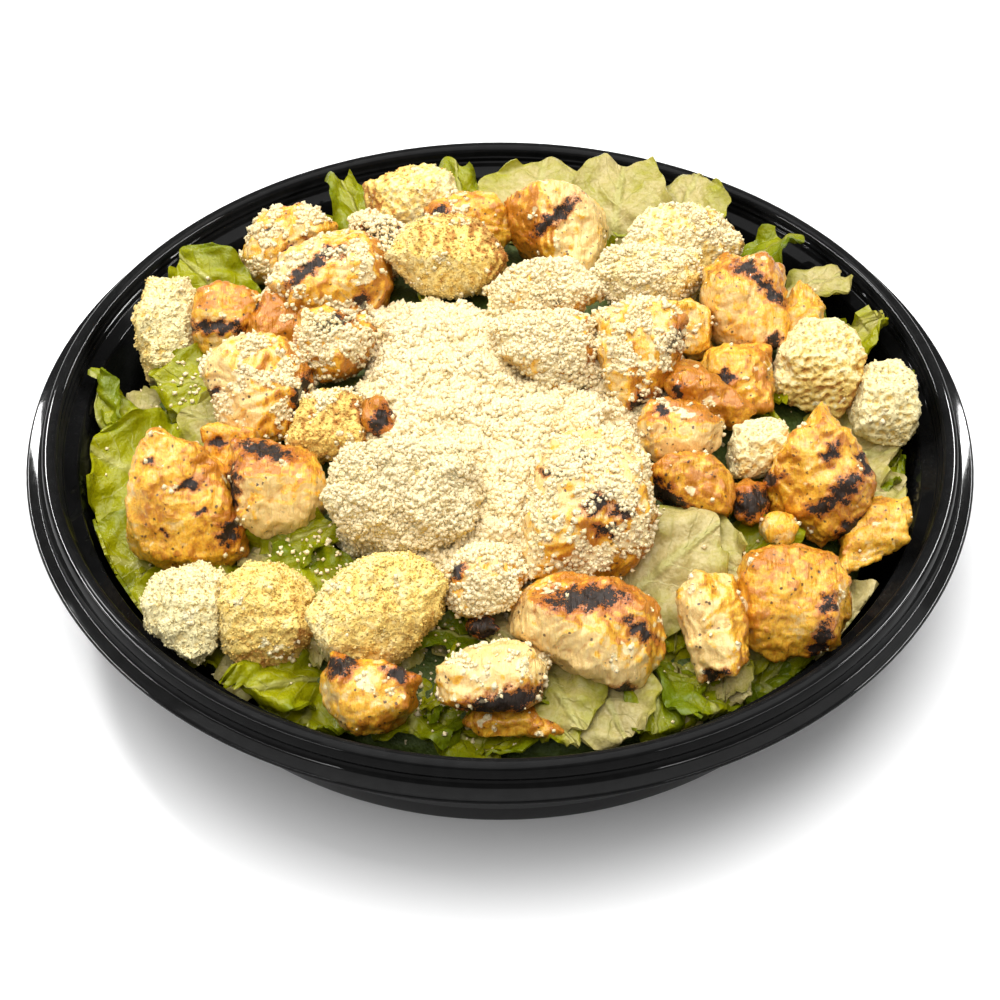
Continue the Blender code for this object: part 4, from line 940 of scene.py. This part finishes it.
# %% Leaf shape
def leaf_places(leaf, along, across, number):
    """Where the points of a leaf's grid lie. Along runs 0 to 1, across -1 to 1.

    The leaf is widest past its middle and its edge is uneven. Its waves and frill grow
    towards the edge, and blisters run all over it.
    """
    phase = 2.4 * number
    uneven = 0.07 * np.sin(8.0 * along + phase) + 0.03 * np.sin(23.0 * along + 2 * phase)
    width = leaf["width"] / 2 * np.sin(math.pi * (0.16 + 0.74 * along)) ** 0.6
    width = width * (1.0 + uneven * np.abs(across))
    wave = leaf["ruffle"] * across ** 2 * np.sin(9.0 * along + 2.2 * across + phase)
    frill = 0.35 * leaf["ruffle"] * np.abs(across) ** 3
    frill = frill * np.sin(27.0 * along + 5.0 * across + phase)
    blister = 0.75 * np.sin(13.0 * along + phase) * np.cos(7.0 * across + phase)
    blister += 0.35 * np.sin(29.0 * along - 11.0 * across + phase)
    blister += 0.5 * np.cos(10.0 * across + phase) * (1.0 - 0.6 * along)
    fold = leaf["bend"] * 4.0 * along * (1.0 - along) + wave + frill + blister
    tip = 1.0 + 0.07 * np.sin(3.0 * across + phase)
    return np.stack((leaf["length"] * along * tip, width * across, fold), axis=1)


def leaf_turn(leaf):
    """The leaf's tilt: along the heap's slope at its root, then its own rise and roll."""
    x, y = leaf["at"]
    angle = math.radians(leaf["heading"])
    outward = x * math.cos(angle) + y * math.sin(angle)
    slope = math.atan(-2.0 * HEAP_FALL * outward / HEAP_FALL_RADIUS ** 2)
    heading = Matrix.Rotation(angle, 3, "Z")
    rise = Matrix.Rotation(-slope - math.radians(leaf["rise"]), 3, "Y")
    return heading @ rise @ Matrix.Rotation(math.radians(leaf["roll"]), 3, "X")


# %% Leaf mesh
def held_by_wall(places):
    """Leaves that would pass the bowl's wall are bent back to it."""
    radii = np.hypot(places[:, 0], places[:, 1])
    limits = np.array([wall_radius(z) for z in places[:, 2]]) - LEAF_CLEARANCE
    scale = np.minimum(1.0, limits / np.maximum(radii, 1e-6))
    places[:, :2] *= scale[:, None]
    return places


def make_leaf(number, leaf, cells_long, cells_wide):
    """A leaf as a thin mesh of its own, with its map and its tone."""
    bpy.ops.object.select_all(action="DESELECT")
    bpy.ops.mesh.primitive_grid_add(x_subdivisions=cells_long, y_subdivisions=cells_wide, size=2.0)
    item = bpy.context.active_object
    item.name = f"leaf_{number:03d}"
    flat = vertex_places(item.data) * MM
    along, across = (flat[:, 0] + 1.0) / 2, flat[:, 1]
    x, y = leaf["at"]
    root = np.array((x, y, bed_height(x, y) - LEAF_ROOT_DEPTH))
    turn = np.array(leaf_turn(leaf))
    places = held_by_wall(root + leaf_places(leaf, along, across, number) @ turn.T)
    item.data.vertices.foreach_set("co", (places * MM).ravel())
    chart = item.data.uv_layers[0]
    chart.name = "leaf"
    corner = read(item.data.loops, "vertex_index", 1, np.int32)
    chart.data.foreach_set("uv", np.stack((along[corner], across[corner]), axis=1).ravel())
    store(item.data, "tone", np.full(len(flat), leaf["tone"]))
    apply_modifier(item, "SOLIDIFY", thickness=LEAF_THICKNESS * MM, offset=0.0)
    item.data.materials.append(leaf_material)
    return item


# %% Large leaves
leaf_material = leaf_finish()
leaves = [make_leaf(number, leaf, 26, 18) for number, leaf in enumerate(LEAVES)]
print("large leaves:", len(leaves))


# %% [markdown]
# Smaller torn leaves fill the bed between the large ones, thickest towards the wall, so
# the salad looks as full from the back and the sides as from the front. Fine shreds lie
# in two spots at the front and here and there over the rest.

# %% Small leaves and shreds
FILLER_LEAVES = 130
FILLER_REACH = 95.0
SHREDS_BY_SPOT = ((-44, -56, 7.0, 16), (-14, -78, 12.0, 10), (0, 0, 52.0, 50))


def filler_leaf():
    """A small leaf with its root anywhere in the outer part of the bed."""
    angle = dice.uniform(0.0, 2 * math.pi)
    radius = FILLER_REACH * math.sqrt(dice.uniform(0.35, 0.92))
    spread = dice.uniform(-110, 110)
    return cut_leaf(at=(radius * math.cos(angle), radius * math.sin(angle)),
                    heading=math.degrees(angle) + spread, rise=dice.uniform(4, 26),
                    roll=dice.uniform(-30, 30), length=dice.uniform(10, 20),
                    width=dice.uniform(8, 17), bend=dice.uniform(-2, 3),
                    ruffle=dice.uniform(1, 2.4), tone=dice.uniform(0.1, 0.95))


def shred(x, y):
    """A narrow strip of leaf that lies any way."""
    return cut_leaf(at=(x, y), heading=dice.uniform(0, 360), rise=dice.uniform(8, 40),
                    roll=dice.uniform(-60, 60), length=dice.uniform(7, 14),
                    width=dice.uniform(2, 4), bend=dice.uniform(-3, 3),
                    ruffle=dice.uniform(0.4, 1.2), tone=dice.uniform(0.3, 0.9))


for _ in range(FILLER_LEAVES):
    leaves.append(make_leaf(len(leaves), filler_leaf(), 12, 9))
for x, y, spread, count in SHREDS_BY_SPOT:
    for _ in range(count):
        place = shred(x + dice.normal() * spread, y + dice.normal() * spread)
        if math.hypot(*place["at"]) < BED_SHOULDER_RADIUS:
            leaves.append(make_leaf(len(leaves), place, 10, 4))
print("leaves and shreds:", len(leaves))


# %% [markdown]
# Under the leaves lies the bed, its dark colour painted shade. Its outline is spun from the
# bowl's floor over the foot of the slope to the top, and its surface is then folded by a pattern.

# %% Lettuce bed
BED_FOOT = (84.0, 3.0)
BED_OUTLINE_RADII = (94, 88, 76, 64, 52, 40, 28, 16, 4)
bed_outline = [(0.0, BED_FOOT[1]), BED_FOOT]
bed_outline += [(r, bed_height(r, 0) - 0.2) for r in BED_OUTLINE_RADII]
bed_outline += [(0.0, bed_height(0, 0))]
bed = spin_outline("lettuce_finished", bed_outline, 60)
apply_modifier(bed, "REMESH", mode="VOXEL", voxel_size=2.2 * MM)
displace(bed, pattern("bed_folds", "CLOUDS", 9.0, noise_depth=2), 4.0, 0.6)
store(bed.data, "tone", np.full(len(bed.data.vertices), 0.9))
bed.data.materials.append(bed_shade_finish())
join(bed, leaves)
smooth_shaded(bed, 60)
hand_over(bed, "lettuce", "lettuce")
print("lettuce faces:", len(bed.data.polygons))

# %% [markdown]
# ## Strewn cheese
# The cheese is strewn last, over everything: thick on some pieces, thin on the rest, and on
# the leaves most where they lie near the heap or in the three spots that caught some.

# %% Strewn cheese
LEAF_GRAINS = 1900
SPOTS = ((-3, -10, 50.0, 0.35), (-76, 12, 12.0, 1.0), (-43, -54, 12.0, 1.0), (-10, -76, 16.0, 0.9))


def leaf_share(place, normal):
    """How much cheese a place on a leaf catches. A spot is its middle, reach and weight."""
    share = np.zeros(len(place))
    for x, y, reach, weight in SPOTS:
        away = np.hypot(place[:, 0] - x, place[:, 1] - y) / reach
        share += weight * np.exp(-away * away)
    return share * np.clip(normal[:, 2], 0.0, 1.0)


strewn_sets = [strewn(piece, dust) for piece, dust in dusty]
strewn_sets.append(surface_points(bed, LEAF_GRAINS, leaf_share)[:2])
points = np.concatenate([pair[0] for pair in strewn_sets])
normals = np.concatenate([pair[1] for pair in strewn_sets])
grain_sizes = 0.4 + 0.9 * dice.random(len(points)) ** 1.5
dusting = join_crumbs("strewn_cheese", points, normals, grain_sizes)
dusting.data.materials.append(cheese_material)
hand_over(dusting, "grated_cheese")
print("strewn crumbs:", len(points))

# %% [markdown]
# ## Table, light and camera
# A white table under soft light from above and behind, as in catalogue pictures of food:
# the shadow falls gently to the front, and a weak fill from the front opens it up. Long
# strips beside the bowl light only its plastic, as thin lines along its rim. The camera
# looks down at the salad by about 43 degrees from 0.62 m.

# %% Table
bpy.ops.mesh.primitive_plane_add(size=6.0)
table = bpy.context.active_object
table.name = "white_table"
paper = Shader("white_paper")
fleck = paper.noise(0.02, 2.0)
table.data.materials.append(paper.finish(
    Base_Color=paper.mix(fleck, (0.95, 0.95, 0.95), (0.97, 0.97, 0.97)), Roughness=0.8,
    Emission_Color=paper.mix(fleck, (1.0, 1.0, 1.0), (0.98, 0.98, 0.98)), Emission_Strength=0.04))
print("table:", table.name)

# %% Sky
scene = bpy.context.scene
world = bpy.data.worlds.new("studio")
world.use_nodes = True
sky = world.node_tree
direction = sky.nodes.new("ShaderNodeTexCoord")
upward = sky.nodes.new("ShaderNodeSeparateXYZ")
ceiling = sky.nodes.new("ShaderNodeMapRange")
ceiling.interpolation_type = "SMOOTHSTEP"
ceiling.inputs["From Min"].default_value = 0.50
ceiling.inputs["From Max"].default_value = 0.95
ceiling.inputs["To Min"].default_value = 0.13
ceiling.inputs["To Max"].default_value = 0.9
sky.links.new(direction.outputs["Generated"], upward.inputs[0])
sky.links.new(upward.outputs["Z"], ceiling.inputs["Value"])
sky.links.new(ceiling.outputs["Result"], sky.nodes["Background"].inputs["Strength"])
sky.nodes["Background"].inputs["Color"].default_value = (1.0, 1.0, 1.0, 1.0)
scene.world = world
print("sky:", world.name)


# %% Lamps
def softbox(name, place, aim, length, height, power, lights=None):
    """A lamp that faces aim. It lights everything, or only the collection it is given."""
    light = bpy.data.lights.new(name, "AREA")
    light.shape = "RECTANGLE"
    light.size, light.size_y = length, height
    light.energy = power
    item = bpy.data.objects.new(name, light)
    scene.collection.objects.link(item)
    item.location = place
    item.rotation_euler = (Vector(aim) - Vector(place)).to_track_quat("-Z", "Y").to_euler()
    if lights is not None:
        item.light_linking.receiver_collection = lights


MIDDLE = (0.0, 0.0, 0.03)
plastic_only = bpy.data.collections.new("plastic_only")
plastic_only.objects.link(bowl)
softbox("key_softbox", (0.06, 0.20, 1.15), MIDDLE, 1.2, 1.2, 17.5)
softbox("fill_softbox", (-0.20, -0.60, 1.00), MIDDLE, 0.7, 0.7, 5.0)
softbox("glint_softbox", (-0.45, 0.45, 0.80), MIDDLE, 0.12, 0.12, 4.0)
for side in (-1.0, 1.0):
    softbox("low_strip", (0.75 * side, -0.35, 0.28), MIDDLE, 1.1, 0.05, 12.0, plastic_only)
    softbox("high_strip", (0.65 * side, 0.25, 0.50), MIDDLE, 0.9, 0.04, 40.0, plastic_only)
print("lamps:", len(bpy.data.lights))

# %% Camera
CAMERA_PITCH = math.radians(42.75)
CAMERA_DISTANCE = 0.620
CAMERA_AIM_BELOW = math.radians(1.92)
camera_data = bpy.data.cameras.new("camera")
camera_data.sensor_width = 36.0
camera_data.lens = 91.8
camera = bpy.data.objects.new("camera", camera_data)
scene.collection.objects.link(camera)
camera.location = (0.0, -math.cos(CAMERA_PITCH) * CAMERA_DISTANCE,
                   BOWL_HEIGHT * MM + math.sin(CAMERA_PITCH) * CAMERA_DISTANCE)
camera.rotation_euler = (math.radians(90) - CAMERA_PITCH - CAMERA_AIM_BELOW, 0.0, 0.0)
scene.camera = camera
scene.view_settings.view_transform = "Standard"
print("camera height:", round(camera.location.z, 3), "m")
